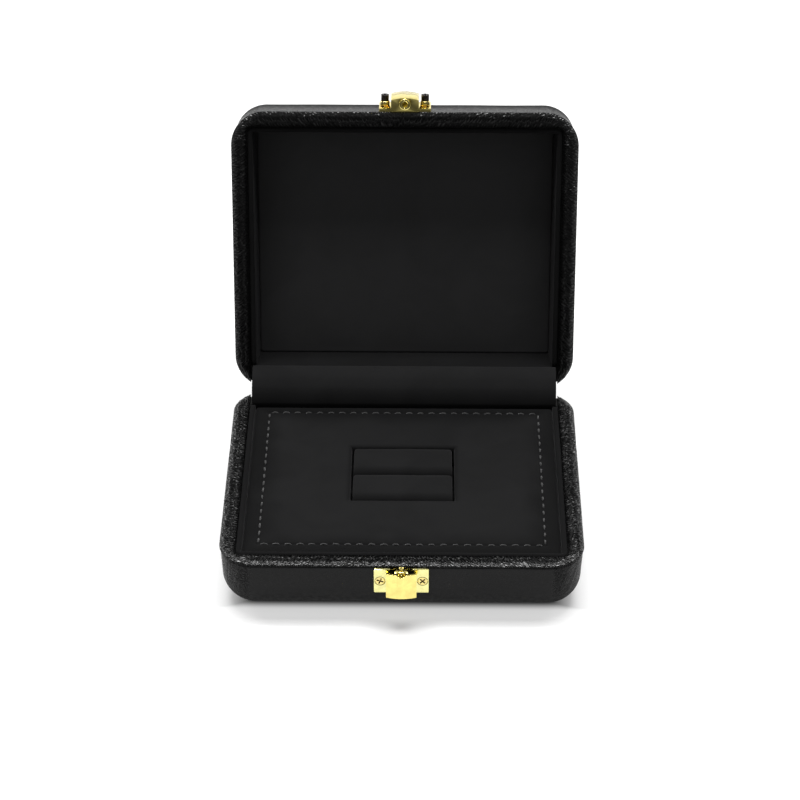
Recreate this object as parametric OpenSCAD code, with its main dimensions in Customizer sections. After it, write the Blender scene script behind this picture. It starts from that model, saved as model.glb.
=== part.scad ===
// Hinged display box for one finger ring: leather-wrapped wood shells, suede lining,
// padded insert with two ring rolls, continuous hinge under a suede flap and leather spine,
// and a press latch with a sprung tongue. Millimetres, +Z up, front towards -Y.
// The lid is drawn open; the hinge axis runs along X at the rear outer edge.

/* [Box] */
// Width of the closed box over the leather
body_w = 132; // [128:0.5:140]
// Depth of the closed box over the leather
body_d = 111.5; // [108:0.5:120]
// Height of the base from the table to its rim
base_h = 24.5; // [24:0.5:30]
// Depth of the lid from its rim to its outer face
lid_h = 20; // [19:0.5:26]
// Gap between the two rims when the lid is closed
rim_gap = 0.6; // [0.5:0.1:1]
// Plan radius of the four corners
corner_r = 13.3; // [13:0.1:15]
// Rounding of the bottom edge of the base
base_edge_r = 12; // [9:0.5:12]
// Rounding of the outer edge of the lid
lid_edge_r = 5.5; // [4:0.5:8]
// Taper of the outer walls from the vertical
draft_deg = 2.6; // [1:0.1:3]
// Angle of the open lid from closed
open_deg = 103.3; // [90:0.1:110]

/* [Shell] */
// Thickness of the leather wrap
wrap_t = 0.8; // [0.6:0.1:1]
// Thickness of the foot sheet under the base
foot_t = 0.8; // [0.6:0.1:1.2]
// Width of the rim at the front and the sides
rim_w = 6.2; // [5.5:0.1:7]
// Width of the rim at the hinge side
rear_rim_w = 7.2; // [6.5:0.1:8]
// Height of the leather rim band
trim_t = 1.3; // [1.2:0.1:1.5]
// Wood left under the base recess
floor_z = 8; // [7.5:0.1:9]
// Wood and padding left over the lid recess
lid_floor = 4.6; // [4.2:0.1:6]

/* [Lining] */
// Thickness of the lining walls
liner_t = 2; // [1.5:0.1:2.5]
// Setback of the lining walls below the rims
liner_set = 0.4; // [0.3:0.1:0.8]
// Height of the pad surface above the table
pad_z = 22.7; // [21.5:0.1:23]
// Width of the cut-out for the ring rolls
slot_w = 39.2; // [34:0.2:44]
// Length of the cut-out for the ring rolls, front to back
slot_l = 34; // [30:0.5:36]
// Centre of the cut-out behind the box centre
slot_y = 3; // [0:0.5:5]
// Height of the roll crowns above the table
roll_z = 23.2; // [22.8:0.1:23.6]
// Half width of the stitched rectangle
stitch_x = 52; // [48:0.5:53]
// Front stitch row, in front of the box centre
stitch_f = 41.5; // [38:0.5:43]
// Rear stitch row, behind the box centre
stitch_b = 42.4; // [38:0.1:43]
// Stitch spacing
stitch_p = 4.3; // [4:0.1:5]

/* [Hinge] */
// Radius of the hinge knuckles
knuckle_r = 1.3; // [1.2:0.05:1.4]
// Radius of the hinge pin
pin_r = 0.6; // [0.5:0.05:0.7]
// Length of the hinge
hinge_l = 117; // [110:1:118]
// Width of the suede hinge flap
flap_w = 120; // [118:1:120]

/* [Latch] */
// Width of the latch flanges
latch_w = 19.6; // [18:0.2:22]
// Height of the latch flanges
latch_hgt = 10.2; // [10:0.1:10.4]
// Stand-off of the press tongue from the wall seat
tongue_out = 6; // [5.8:0.1:6.4]
// Width of the press tongue
tongue_w = 10.9; // [10.6:0.1:11.4]
// Travel of the press tongue in degrees, shown here as 0 at rest
tongue_deg = 0; // [0:0.5:4.5]

/* [Hidden] */
$fn = 64;
hd = body_d / 2;
axis_z = base_h + rim_gap / 2;
lid_top = base_h + rim_gap + lid_h;
tanq = tan(draft_deg);
crease = 0.25;                // the rim band stands this much proud of the wall
cav_x = body_w / 2 - rim_w;
cav_f = -(hd - rim_w);
cav_b = hd - rear_rim_w;
cav_r = 2.5;
trim_z = base_h - trim_t;
seat_y = -(hd - 0.55);        // latch seat plane cut into the front walls
plate_t = 1.7;
lp_top = trim_z - 0.1;        // top of the base flange
lp_bot = lp_top - latch_hgt;
pivot_y = seat_y - 3;
pivot_z = lp_bot + 4.1;
tg_bot = lp_bot + 0.3;
tg_top = base_h - 0.8;
keep_y = seat_y - 3.8;        // keeper hole centre
keep_r = 1.15;
tip_off = 0.65;               // stud tip sits this much nearer the wall than the keeper
tip_r = 0.85;
neck_r = 0.4;
bow_r = (pow(tongue_w / 2, 2) + 0.81) / 1.8;
screw_x = 7.6;
leaf_t = 0.5;
seg_n = 9;
seg_l = hinge_l / seg_n;

// ---------- shared shapes ----------

// outer wall section: x from the corner centre line outwards, y upwards
module wall_section(er, z0, ztop, zrim, inset) {
  czz = z0 + er;
  cx = corner_r - crease - er * cos(draft_deg) - (zrim - (czz - er * sin(draft_deg))) * tanq;
  r = er - inset;
  px = cx + r * cos(draft_deg);
  pz = czz - r * sin(draft_deg);
  intersection() {
    union() {
      polygon([[0, czz - r], [cx, czz - r], [px, pz], [px + (ztop - pz) * tanq, ztop], [0, ztop]]);
      translate([cx, czz]) circle(r = r);
    }
    translate([0, -1]) square([60, ztop + 1]);
  }
}

// runs a section round the rounded plan outline
module round_plan() {
  ax = body_w / 2 - corner_r;
  ay = hd - corner_r;
  for (k = [[ax, ay, 0], [-ax, ay, 90], [-ax, -ay, 180], [ax, -ay, 270]])
    translate([k[0], k[1], 0]) rotate([0, 0, k[2]]) rotate_extrude(angle = 90) children();
  for (s = [0, 180]) rotate([0, 0, s]) translate([ax, 0, 0])
    rotate([90, 0, 0]) linear_extrude(height = 2 * ay, center = true) children();
  for (s = [90, 270]) rotate([0, 0, s]) translate([ay, 0, 0])
    rotate([90, 0, 0]) linear_extrude(height = 2 * ax, center = true) children();
}

module plan_fill(z0, h) {
  ax = body_w / 2 - corner_r;
  ay = hd - corner_r;
  translate([-ax, -ay, z0]) cube([2 * ax, 2 * ay, h]);
}

module rrect(x0, x1, y0, y1, r) {
  union() {
    translate([x0 + r, y0]) square([x1 - x0 - 2 * r, y1 - y0]);
    translate([x0, y0 + r]) square([x1 - x0, y1 - y0 - 2 * r]);
    for (x = [x0 + r, x1 - r]) for (y = [y0 + r, y1 - r]) translate([x, y]) circle(r = r);
  }
}

module slab(x0, x1, y0, y1, r, z0, z1) {
  translate([0, 0, z0]) linear_extrude(height = z1 - z0) rrect(x0, x1, y0, y1, r);
}

// the recess shape, inset by i
module recess(i, r, z0, z1) {
  slab(-cav_x + i, cav_x - i, cav_f + i, cav_b - i, r, z0, z1);
}

// upright round post along Y, from y0 outwards (towards -Y)
module peg(x, z, y0, y1, r) {
  translate([x, y0, z]) rotate([90, 0, 0]) cylinder(h = y0 - y1, r = r);
}

// lid parts are written with the lid lying as a tray: outer face at z 0, rim at z lid_h
module lid_pose() {
  translate([0, hd, axis_z]) rotate([-open_deg, 0, 0]) translate([0, -hd, -axis_z])
    translate([0, 0, lid_top]) mirror([0, 0, 1]) children();
}

module tongue_pose() {
  translate([0, pivot_y, pivot_z]) rotate([tongue_deg, 0, 0]) translate([0, -pivot_y, -pivot_z]) children();
}

// ---------- base ----------

module base_core() color([0.62, 0.48, 0.33]) difference() {
  union() {
    round_plan() wall_section(base_edge_r, foot_t, trim_z, base_h, wrap_t);
    plan_fill(foot_t + wrap_t, trim_z - foot_t - wrap_t);
  }
  recess(0, cav_r, floor_z, base_h + 1);
  // latch seat, screw and rivet holes
  translate([-latch_w / 2 - 0.1, seat_y - 3, lp_bot - 0.1]) cube([latch_w + 0.2, 3, 20]);
  for (s = [-1, 1]) peg(s * screw_x, lp_bot + latch_hgt / 2, seat_y + 5.2, seat_y - 1, 0.9);
  for (x = [-48, -16, 16, 48]) translate([x, cav_b + 2.6, trim_z - 3]) cylinder(h = 4, r = 1);
}

module base_wrap() color([0.06, 0.06, 0.065]) difference() {
  union() {
    round_plan() difference() {
      wall_section(base_edge_r, foot_t, trim_z, base_h, 0);
      wall_section(base_edge_r, foot_t, trim_z + 1, base_h, wrap_t);
    }
    plan_fill(foot_t, wrap_t);
  }
  translate([-latch_w / 2 - 0.1, seat_y - 3, lp_bot - 0.1]) cube([latch_w + 0.2, 3, 20]);
  for (s = [-1, 1]) peg(s * screw_x, lp_bot + latch_hgt / 2, seat_y + 5.2, seat_y - 1, 0.9);
}

module base_foot_sheet() color([0.1, 0.1, 0.1])
  slab(-52.6, 52.6, -42.4, 42.4, 3, 0, foot_t);

// leather band on the rim, rounded outside, open along the hinge
module rim_band(z0, z1) {
  difference() {
    union() {
      round_plan() union() {
        translate([0, z0]) square([corner_r - 1, z1 - z0]);
        translate([0, z0]) square([corner_r, z1 - z0 - 1]);
        translate([corner_r - 1, z1 - 1]) intersection() {
          circle(r = 1);
          square([1, 1]);
        }
      }
      plan_fill(z0, z1 - z0);
    }
    recess(0, cav_r, z0 - 1, z1 + 1);
    translate([-flap_w / 2, cav_b - 3, z0 - 1]) cube([flap_w, 20, z1 - z0 + 2]);
  }
}

module base_rim_trim() color([0.07, 0.07, 0.075]) rim_band(trim_z, base_h);

module liner(z0, z1) difference() {
  recess(0, cav_r, z0, z1);
  recess(liner_t, cav_r - 1.2, z0 - 1, z1 + 1);
}

module base_liner() color([0.08, 0.08, 0.085]) liner(floor_z, base_h - liner_set);

// ---------- insert ----------

module pad_plan(i, z0, z1) recess(liner_t + 0.2 + i, 1.2, z0, z1);

module well_plan(i, z0, z1)
  slab(-slot_w / 2 - i, slot_w / 2 + i, slot_y - slot_l / 2 - i, slot_y + slot_l / 2 + i, 1.4, z0, z1);

module insert_board() color([0.5, 0.45, 0.38]) pad_plan(0, floor_z, floor_z + 2);

module insert_foam() color([0.2, 0.2, 0.2]) difference() {
  pad_plan(0.7, floor_z + 2, pad_z - 0.8);
  well_plan(0.6, floor_z + 5, pad_z + 1);
}

module insert_cover() color([0.1, 0.1, 0.105]) difference() {
  pad_plan(0, floor_z + 2, pad_z);
  pad_plan(0.7, floor_z + 1, pad_z - 0.8);
  well_plan(0, pad_z - 2, pad_z + 1);
}

module insert_stitching() color([0.22, 0.22, 0.23]) {
  nx = floor(2 * stitch_x / stitch_p);
  ny = floor((stitch_f + stitch_b) / stitch_p);
  px = 2 * stitch_x / nx;
  py = (stitch_f + stitch_b) / ny;
  for (i = [0 : nx - 1]) for (y = [-stitch_f, stitch_b])
    translate([-stitch_x + (i + 0.5) * px, y, pad_z]) translate([-1.2, -0.3, 0]) cube([2.4, 0.6, 0.25]);
  for (i = [0 : ny - 1]) for (x = [-stitch_x, stitch_x])
    translate([x, -stitch_f + (i + 0.5) * py, pad_z]) translate([-0.3, -1.2, 0]) cube([0.6, 2.4, 0.25]);
}

module slot_well() color([0.07, 0.07, 0.075]) difference() {
  well_plan(0.6, floor_z + 5, pad_z - 0.8);
  well_plan(0, floor_z + 6, pad_z + 1);
}

module roll(y0, y1) {
  r = 4;
  translate([-slot_w / 2 + 0.5, 0, 0]) rotate([90, 0, 90]) linear_extrude(height = slot_w - 1)
    union() {
      translate([y0, floor_z + 6]) square([y1 - y0, roll_z - r - floor_z - 6]);
      translate([y0 + r, roll_z - r - 1]) square([y1 - y0 - 2 * r, r + 1]);
      for (y = [y0 + r, y1 - r]) translate([y, roll_z - r]) circle(r = r);
    }
}

module ring_roll_front() color([0.09, 0.09, 0.095]) roll(slot_y - slot_l / 2 + 0.4, slot_y - 0.15);
module ring_roll_rear() color([0.09, 0.09, 0.095]) roll(slot_y + 0.15, slot_y + slot_l / 2 - 0.4);

// ---------- latch on the base ----------

module flange(z0, z1) {
  translate([0, seat_y, 0]) rotate([90, 0, 0]) linear_extrude(height = plate_t)
    rrect(-latch_w / 2, latch_w / 2, z0, z1, 0.35);
}

module latch_plate() color([0.85, 0.68, 0.25]) difference() {
  union() {
    flange(lp_bot, lp_top);
    for (s = [-1, 1]) translate([s * 4.35 - 0.4, seat_y - 3.95, lp_bot + 1.2]) cube([0.8, 3.95, 4.3]);
  }
  for (s = [-1, 1]) {
    peg(s * screw_x, lp_bot + latch_hgt / 2, seat_y + 1, seat_y - 3, 0.9);
    peg(s * screw_x, lp_bot + latch_hgt / 2, seat_y - 0.8, seat_y - 3, 1.97);
  }
  translate([-6, pivot_y, pivot_z]) rotate([0, 90, 0]) cylinder(h = 12, r = 0.5);
  // open behind the stud, a little narrower at the top
  translate([0, seat_y + 1, 0]) rotate([90, 0, 0]) linear_extrude(height = 4)
    polygon([[-5.5, lp_bot + 7.4], [5.5, lp_bot + 7.4], [3.5, lp_top + 1], [-3.5, lp_top + 1]]);
}

module screw(z, y_under, head_t, head_r, shank, turn = 0) {
  difference() {
    union() {
      peg(0, z, y_under + shank, y_under, 0.9);
      peg(0, z, y_under, y_under - head_t, head_r);
    }
    for (a = [turn, turn + 90]) translate([0, y_under - head_t, z]) rotate([0, a, 0])
      translate([-1.3, -0.1, -0.28]) cube([2.6, 0.8, 0.56]);
  }
}

module latch_screws() color([0.85, 0.68, 0.25])
  for (s = [-1, 1]) translate([s * screw_x, 0, 0]) screw(lp_bot + latch_hgt / 2, seat_y - 0.8, 0.9, 1.75, 6, s > 0 ? 45 : 20);

module latch_pivot_pin() color([0.7, 0.6, 0.3])
  translate([-4.9, pivot_y, pivot_z]) rotate([0, 90, 0]) cylinder(h = 9.8, r = 0.5);

// bent leaf spring behind the lower end of the tongue
module latch_spring() color([0.75, 0.6, 0.35])
  translate([-1.6, 0, 0]) rotate([90, 0, 90]) linear_extrude(height = 3.2) union() {
    translate([seat_y - plate_t - 0.25, lp_bot + 1.6]) square([0.25, 3.1]);
    difference() {
      translate([seat_y - plate_t - 1.45, lp_bot + 1.65]) circle(r = 1.45);
      translate([seat_y - plate_t - 1.45, lp_bot + 1.65]) circle(r = 1.2);
      translate([seat_y - plate_t - 4.45, lp_bot + 1.65]) square([6, 3]);
    }
    translate([seat_y - plate_t - 2.9, lp_bot + 1.6]) square([0.25, 1.9]);
  }

// curved front plate with two lugs on the pivot pin and an arm for the stud
module latch_tongue() color([0.88, 0.72, 0.3]) tongue_pose() difference() {
  union() {
    intersection() {
      difference() {
        translate([0, seat_y - tongue_out + bow_r, tg_bot]) cylinder(h = tg_top - tg_bot, r = bow_r);
        translate([0, seat_y - tongue_out + bow_r, tg_bot - 1]) cylinder(h = tg_top - tg_bot + 2, r = bow_r - 1);
      }
      translate([-tongue_w / 2, seat_y - tongue_out - 1, tg_bot]) cube([tongue_w, 3, tg_top - tg_bot]);
    }
    for (s = [-1, 1]) translate([s * 3.35 - 0.4, seat_y - 5.2, pivot_z - 1.1]) cube([0.8, 3.25, 2.2]);
    for (s = [-1, 1]) translate([s * 5.2 - 0.25, seat_y - 4.8, tg_bot]) cube([0.5, 2.6, 8]);
    translate([-3.75, seat_y - 5.3, pivot_z + 1]) cube([7.5, 3.1, 0.9]);
  }
  translate([-6, pivot_y, pivot_z]) rotate([0, 90, 0]) cylinder(h = 12, r = 0.55);
  translate([0, keep_y + tip_off, pivot_z + 0.5]) cylinder(h = 2, r = 1.2);
  // round notch in front of the stud
  translate([0, seat_y - tongue_out - 1, tg_top + 0.35]) rotate([-90, 0, 0]) cylinder(h = 3, r = 1.5);
}

// split post with an arrow collar and a hooked tip
module latch_stud() color([0.85, 0.68, 0.25]) tongue_pose() translate([0, keep_y + tip_off, 0]) difference() {
  union() {
    translate([0, 0, pivot_z + 1.0]) cylinder(h = base_h - 1.5 - pivot_z - 1.0, r = 1.2);
    intersection() {
      union() {
        translate([0, 0, base_h - 1.6]) cylinder(h = 0.3, r = 2.35);
        translate([0, 0, base_h - 1.3]) cylinder(h = 0.7, r1 = 2.35, r2 = 0.9);
      }
      translate([-3, -1.1, base_h - 3]) cube([6, 2.2, 3]);
    }
    translate([0, 0, base_h - 0.8]) cylinder(h = 1.2, r = neck_r);
    translate([0, 0, base_h + 0.3]) cylinder(h = 0.25, r = tip_r);
    translate([0, 0, base_h + 0.55]) cylinder(h = 0.4, r1 = tip_r, r2 = 0.4);
  }
  translate([-0.22, -3, pivot_z + 2.6]) cube([0.44, 6, base_h - 1.1 - pivot_z - 2.6]);
}

// ---------- hinge ----------

module knuckles(first) difference() {
  for (i = [first : 2 : seg_n - 1])
    translate([-hinge_l / 2 + i * seg_l + 0.2, hd, axis_z]) rotate([0, 90, 0]) cylinder(h = seg_l - 0.4, r = knuckle_r);
  translate([-hinge_l / 2 - 1, hd, axis_z]) rotate([0, 90, 0]) cylinder(h = hinge_l + 2, r = pin_r + 0.04);
}

module leaf_base_shape(first) difference() {
  union() {
    translate([-hinge_l / 2, cav_b + 0.6, trim_z]) cube([hinge_l, hd - knuckle_r - 0.4 - cav_b - 0.6, leaf_t]);
    for (i = [first : 2 : seg_n - 1])
      translate([-hinge_l / 2 + i * seg_l + 0.2, hd - knuckle_r - 1, trim_z]) cube([seg_l - 0.4, knuckle_r + 1, leaf_t]);
    for (i = [first : 2 : seg_n - 1])
      translate([-hinge_l / 2 + i * seg_l + 0.2, hd, axis_z]) rotate([0, 90, 0]) cylinder(h = seg_l - 0.4, r = knuckle_r);
  }
  translate([-hinge_l / 2 - 1, hd, axis_z]) rotate([0, 90, 0]) cylinder(h = hinge_l + 2, r = pin_r + 0.04);
  for (x = [-48, -16, 16, 48]) translate([x, cav_b + 2.6, trim_z - 1]) cylinder(h = 3, r = 1);
}

module hinge_leaf_base() color([0.7, 0.68, 0.6]) leaf_base_shape(0);

module hinge_pin() color([0.6, 0.6, 0.6])
  translate([-hinge_l / 2 + 0.1, hd, axis_z]) rotate([0, 90, 0]) cylinder(h = hinge_l - 0.2, r = pin_r);

module hinge_rivets_base() color([0.75, 0.7, 0.55])
  for (x = [-48, -16, 16, 48]) translate([x, cav_b + 2.6, trim_z - 3]) cylinder(h = 3 + leaf_t, r = 1);

module flap_base() color([0.09, 0.09, 0.095])
  translate([-flap_w / 2, cav_b, trim_z + leaf_t]) cube([flap_w, hd - knuckle_r - 0.35 - cav_b, base_h - 0.05 - trim_z - leaf_t]);

module spine_strip(ztop, zrim) {
  y1 = hd - crease - (zrim - ztop) * tanq;
  y0 = y1 - 8.5 * tanq;
  translate([-52.5, 0, 0]) rotate([90, 0, 90]) linear_extrude(height = 105)
    polygon([[y0, ztop - 8.5], [y0 + 0.8, ztop - 8.5], [y1 + 0.8, ztop], [y1, ztop]]);
}

module spine_base() color([0.05, 0.05, 0.055]) spine_strip(base_h - 1.6, base_h);

// ---------- lid ----------

module lid_core() color([0.62, 0.48, 0.33]) lid_pose() difference() {
  union() {
    round_plan() wall_section(lid_edge_r, 0, lid_h - trim_t, lid_h, wrap_t);
    plan_fill(wrap_t, lid_h - trim_t - wrap_t);
  }
  recess(0, cav_r, lid_floor, lid_h + 1);
  slab(-58, 58, -47.5, 47.5, 6, 0, 2);
  translate([-latch_w / 2 - 0.1, seat_y - 3, lid_h - trim_t - 0.1 - latch_hgt - 0.1]) cube([latch_w + 0.2, 3, 20]);
  for (s = [-1, 1]) peg(s * screw_x, lid_h - trim_t - 0.1 - latch_hgt / 2, seat_y + 5.2, seat_y - 1, 0.9);
  for (x = [-48, -16, 16, 48]) translate([x, cav_b + 2.6, lid_h - trim_t - 3]) cylinder(h = 4, r = 1);
}

module lid_padding() color([0.8, 0.78, 0.7]) lid_pose() slab(-58, 58, -47.5, 47.5, 6, wrap_t, 2);

module lid_wrap() color([0.06, 0.06, 0.065]) lid_pose() difference() {
  union() {
    round_plan() difference() {
      wall_section(lid_edge_r, 0, lid_h - trim_t, lid_h, 0);
      wall_section(lid_edge_r, 0, lid_h - trim_t + 1, lid_h, wrap_t);
    }
    plan_fill(0, wrap_t);
  }
  translate([-latch_w / 2 - 0.1, seat_y - 3, lid_h - trim_t - 0.1 - latch_hgt - 0.1]) cube([latch_w + 0.2, 3, 20]);
  for (s = [-1, 1]) peg(s * screw_x, lid_h - trim_t - 0.1 - latch_hgt / 2, seat_y + 5.2, seat_y - 1, 0.9);
}

module lid_rim_trim() color([0.07, 0.07, 0.075]) lid_pose() rim_band(lid_h - trim_t, lid_h);

module lid_liner() color([0.08, 0.08, 0.085]) lid_pose() liner(lid_floor, lid_h - liner_set);

module lid_panel_board() color([0.5, 0.45, 0.38]) lid_pose() pad_plan(0.5, lid_floor, lid_floor + 0.6);

module lid_panel_cover() color([0.08, 0.08, 0.085]) lid_pose() pad_plan(0, lid_floor + 0.6, lid_floor + 1.3);

// ---------- strike on the lid ----------

sp_top = lid_h - trim_t - 0.1;   // flange end nearest the rim, in tray height
sp_bot = sp_top - latch_hgt;
end_z = lid_h - 0.3;             // rim-side face of the hood end plate

module strike_plate() color([0.85, 0.68, 0.25]) lid_pose() difference() {
  union() {
    flange(sp_bot, sp_top);
    intersection() {
      translate([0, seat_y - tongue_out + bow_r, sp_bot + 0.6]) cylinder(h = end_z - sp_bot - 0.6, r = bow_r);
      translate([-5.25, seat_y - tongue_out - 1, sp_bot + 0.6]) cube([10.5, tongue_out + 0.35, end_z - sp_bot - 0.6]);
    }
  }
  // hollow hood behind the end plate
  intersection() {
    translate([0, seat_y - tongue_out + bow_r, sp_bot + 1.6]) cylinder(h = end_z - 0.7 - sp_bot - 1.6, r = bow_r - 1);
    translate([-4.25, seat_y - tongue_out - 1, sp_bot + 1.6]) cube([8.5, tongue_out + 1 - plate_t, end_z - 0.7 - sp_bot - 1.6]);
  }
  for (s = [-1, 1]) peg(s * screw_x, sp_bot + latch_hgt / 2, seat_y + 1, seat_y - 3, 0.9);
  translate([0, keep_y, end_z - 2]) cylinder(h = 3, r = 2.1);
}

// bushing that the hooked tip catches on
module strike_keeper() color([0.9, 0.75, 0.35]) lid_pose() difference() {
  translate([0, keep_y, end_z - 0.7]) cylinder(h = 2, r = 2.1);
  translate([0, keep_y, end_z - 2]) cylinder(h = 5, r = keep_r);
  translate([0, keep_y, end_z - 1.7]) cylinder(h = 2.4, r = 1.65);
}

module strike_collars() color([0.85, 0.68, 0.25]) lid_pose()
  for (s = [-1, 1]) difference() {
    peg(s * screw_x, sp_bot + latch_hgt / 2, seat_y - plate_t, seat_y - plate_t - 1.8, 1.75);
    peg(s * screw_x, sp_bot + latch_hgt / 2, seat_y, seat_y - plate_t - 2.5, 0.9);
  }

module strike_screws() color([0.1, 0.09, 0.08]) lid_pose()
  for (s = [-1, 1]) translate([s * screw_x, 0, 0])
    screw(sp_bot + latch_hgt / 2, seat_y - plate_t - 1.8, 2.4, 1.5, 7.5);

module hinge_leaf_lid() color([0.7, 0.68, 0.6])
  translate([0, hd, axis_z]) rotate([-open_deg, 0, 0]) translate([0, -hd, -axis_z])
    translate([0, 0, 2 * axis_z]) mirror([0, 0, 1]) leaf_base_shape(1);

module hinge_rivets_lid() color([0.75, 0.7, 0.55]) lid_pose()
  for (x = [-48, -16, 16, 48]) translate([x, cav_b + 2.6, lid_h - trim_t - 3]) cylinder(h = 3 + leaf_t, r = 1);

module flap_lid() color([0.09, 0.09, 0.095]) lid_pose()
  translate([-flap_w / 2, cav_b, lid_h - trim_t + leaf_t]) cube([flap_w, hd - knuckle_r - 0.35 - cav_b, trim_t - 0.05 - leaf_t]);

module spine_lid() color([0.05, 0.05, 0.055]) lid_pose() spine_strip(lid_h - 1.6, lid_h);

// ---------- draw ----------

base_core();
base_wrap();
base_foot_sheet();
base_rim_trim();
base_liner();
insert_board();
insert_foam();
insert_cover();
insert_stitching();
slot_well();
ring_roll_front();
ring_roll_rear();
latch_plate();
latch_screws();
latch_pivot_pin();
latch_spring();
hinge_leaf_base();
hinge_pin();
hinge_rivets_base();
flap_base();
spine_base();
latch_tongue();
latch_stud();
lid_core();
lid_padding();
lid_wrap();
lid_rim_trim();
lid_liner();
lid_panel_board();
lid_panel_cover();
strike_plate();
strike_keeper();
strike_collars();
strike_screws();
hinge_leaf_lid();
hinge_rivets_lid();
flap_lid();
spine_lid();
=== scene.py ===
import math

import bmesh
import bpy
import numpy as np
from mathutils import Matrix


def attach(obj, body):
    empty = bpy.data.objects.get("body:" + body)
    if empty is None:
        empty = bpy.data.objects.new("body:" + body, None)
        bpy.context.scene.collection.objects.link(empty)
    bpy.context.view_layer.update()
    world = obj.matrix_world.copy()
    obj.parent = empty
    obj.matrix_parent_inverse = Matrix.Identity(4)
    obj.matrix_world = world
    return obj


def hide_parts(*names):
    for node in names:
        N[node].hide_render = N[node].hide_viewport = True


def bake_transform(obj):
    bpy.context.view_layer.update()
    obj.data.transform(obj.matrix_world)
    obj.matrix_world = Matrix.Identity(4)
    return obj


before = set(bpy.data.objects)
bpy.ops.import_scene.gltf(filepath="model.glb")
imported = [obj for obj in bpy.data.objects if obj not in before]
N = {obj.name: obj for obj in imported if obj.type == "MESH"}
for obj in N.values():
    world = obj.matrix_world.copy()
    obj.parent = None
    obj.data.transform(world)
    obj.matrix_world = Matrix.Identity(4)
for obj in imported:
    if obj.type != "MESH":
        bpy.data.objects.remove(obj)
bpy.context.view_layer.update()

# ---------------------------------------------------------------- sizes, in mm
AX, AY = 52.7, 42.45            # corner centres of the rounded plan
CR = 13.3                       # plan corner radius at the rims
HD = 55.75                      # half depth
AXIS_Z = 24.8                   # hinge axis height
OPEN = math.radians(103.3)
LID_TOP = 45.1
TAN = math.tan(math.radians(2.6))
COS = math.cos(math.radians(2.6))
SIN = math.sin(math.radians(2.6))
CREASE = 0.25
CX, CF, CB, CVR = 59.8, -49.55, 48.55, 2.5
TRIM_T = 1.3
BASE_H, LID_H = 24.5, 20.0
FLOOR_Z, LID_FLOOR = 8.0, 4.6
PAD_Z, ROLL_Z = 22.7, 23.2
SLOT_X, SLOT_Y0, SLOT_Y1 = 19.6, -14.0, 20.0
STX, STF, STB, STP = 52.0, -41.5, 42.4, 4.3
SEAT_Y = -55.2


# ---------------------------------------------------------------- helpers
def smooth(e0, e1, x):
    t = np.clip((np.asarray(x, float) - e0) / (e1 - e0), 0, 1)
    return t * t * (3 - 2 * t)


def waves(a, b, seed, wl, n=9):
    """Smooth unevenness from -1 to 1 over two coordinates, wl long on average."""
    r = np.random.default_rng(seed)
    out = 0
    for _ in range(n):
        th, w = r.uniform(0, math.tau), wl * r.uniform(0.6, 1.7)
        out = out + np.sin((np.cos(th) * a + np.sin(th) * b) * math.tau / w + r.uniform(0, math.tau))
    return out / (0.75 * math.sqrt(n) * 1.6)


def pebbles(a, b, la, lb, seed, jitter=0.8, width=0.45, tilt=0.26):
    """Embossed grain over two coordinates, cells la by lb: height from 0 in the creases to 1, and each top's own lean."""
    a, b = np.asarray(a, float) / la, np.asarray(b, float) / lb
    ia, ib = np.floor(a).astype(np.int64), np.floor(b).astype(np.int64)

    def rnd(p, q, k):
        h = (p * 374761393 + q * 668265263 + (seed * 97 + k) * 1274126177) & 0xFFFFFFFF
        h = ((h ^ (h >> 13)) * 1103515245) & 0xFFFFFFFF
        h = ((h ^ (h >> 15)) * 668265263) & 0xFFFFFFFF
        return ((h ^ (h >> 16)) & 0xFFFF) / 65535.0

    f1 = np.full(a.shape, 9.0)
    f2 = f1.copy()
    own, lean = np.zeros(a.shape), np.zeros(a.shape)
    for da in (-1, 0, 1):
        for db in (-1, 0, 1):
            p, q = ia + da, ib + db
            va, vb = a - p - 0.5 - jitter * (rnd(p, q, 1) - 0.5), b - q - 0.5 - jitter * (rnd(p, q, 2) - 0.5)
            d = np.hypot(va, vb)
            new = d < f1
            own = np.where(new, rnd(p, q, 3), own)
            lean = np.where(new, 2 * tilt * ((rnd(p, q, 4) - 0.5) * va * la + 0.6 * (rnd(p, q, 5) - 0.5) * vb * lb), lean)
            f2 = np.where(new, f1, np.minimum(f2, d))
            f1 = np.minimum(f1, d)
    rise = smooth(0.0, width, f2 - f1)
    return rise * (0.72 + 0.28 * own), lean * rise


def lid(P):
    """From the lid's own tray coordinates to the row frame, lid open."""
    P = np.asarray(P, float)
    y, z = P[..., 1] - HD, (LID_TOP - P[..., 2]) - AXIS_Z
    c, s = math.cos(-OPEN), math.sin(-OPEN)
    return np.stack([P[..., 0], HD + y * c - z * s, AXIS_Z + y * s + z * c], -1)


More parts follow.
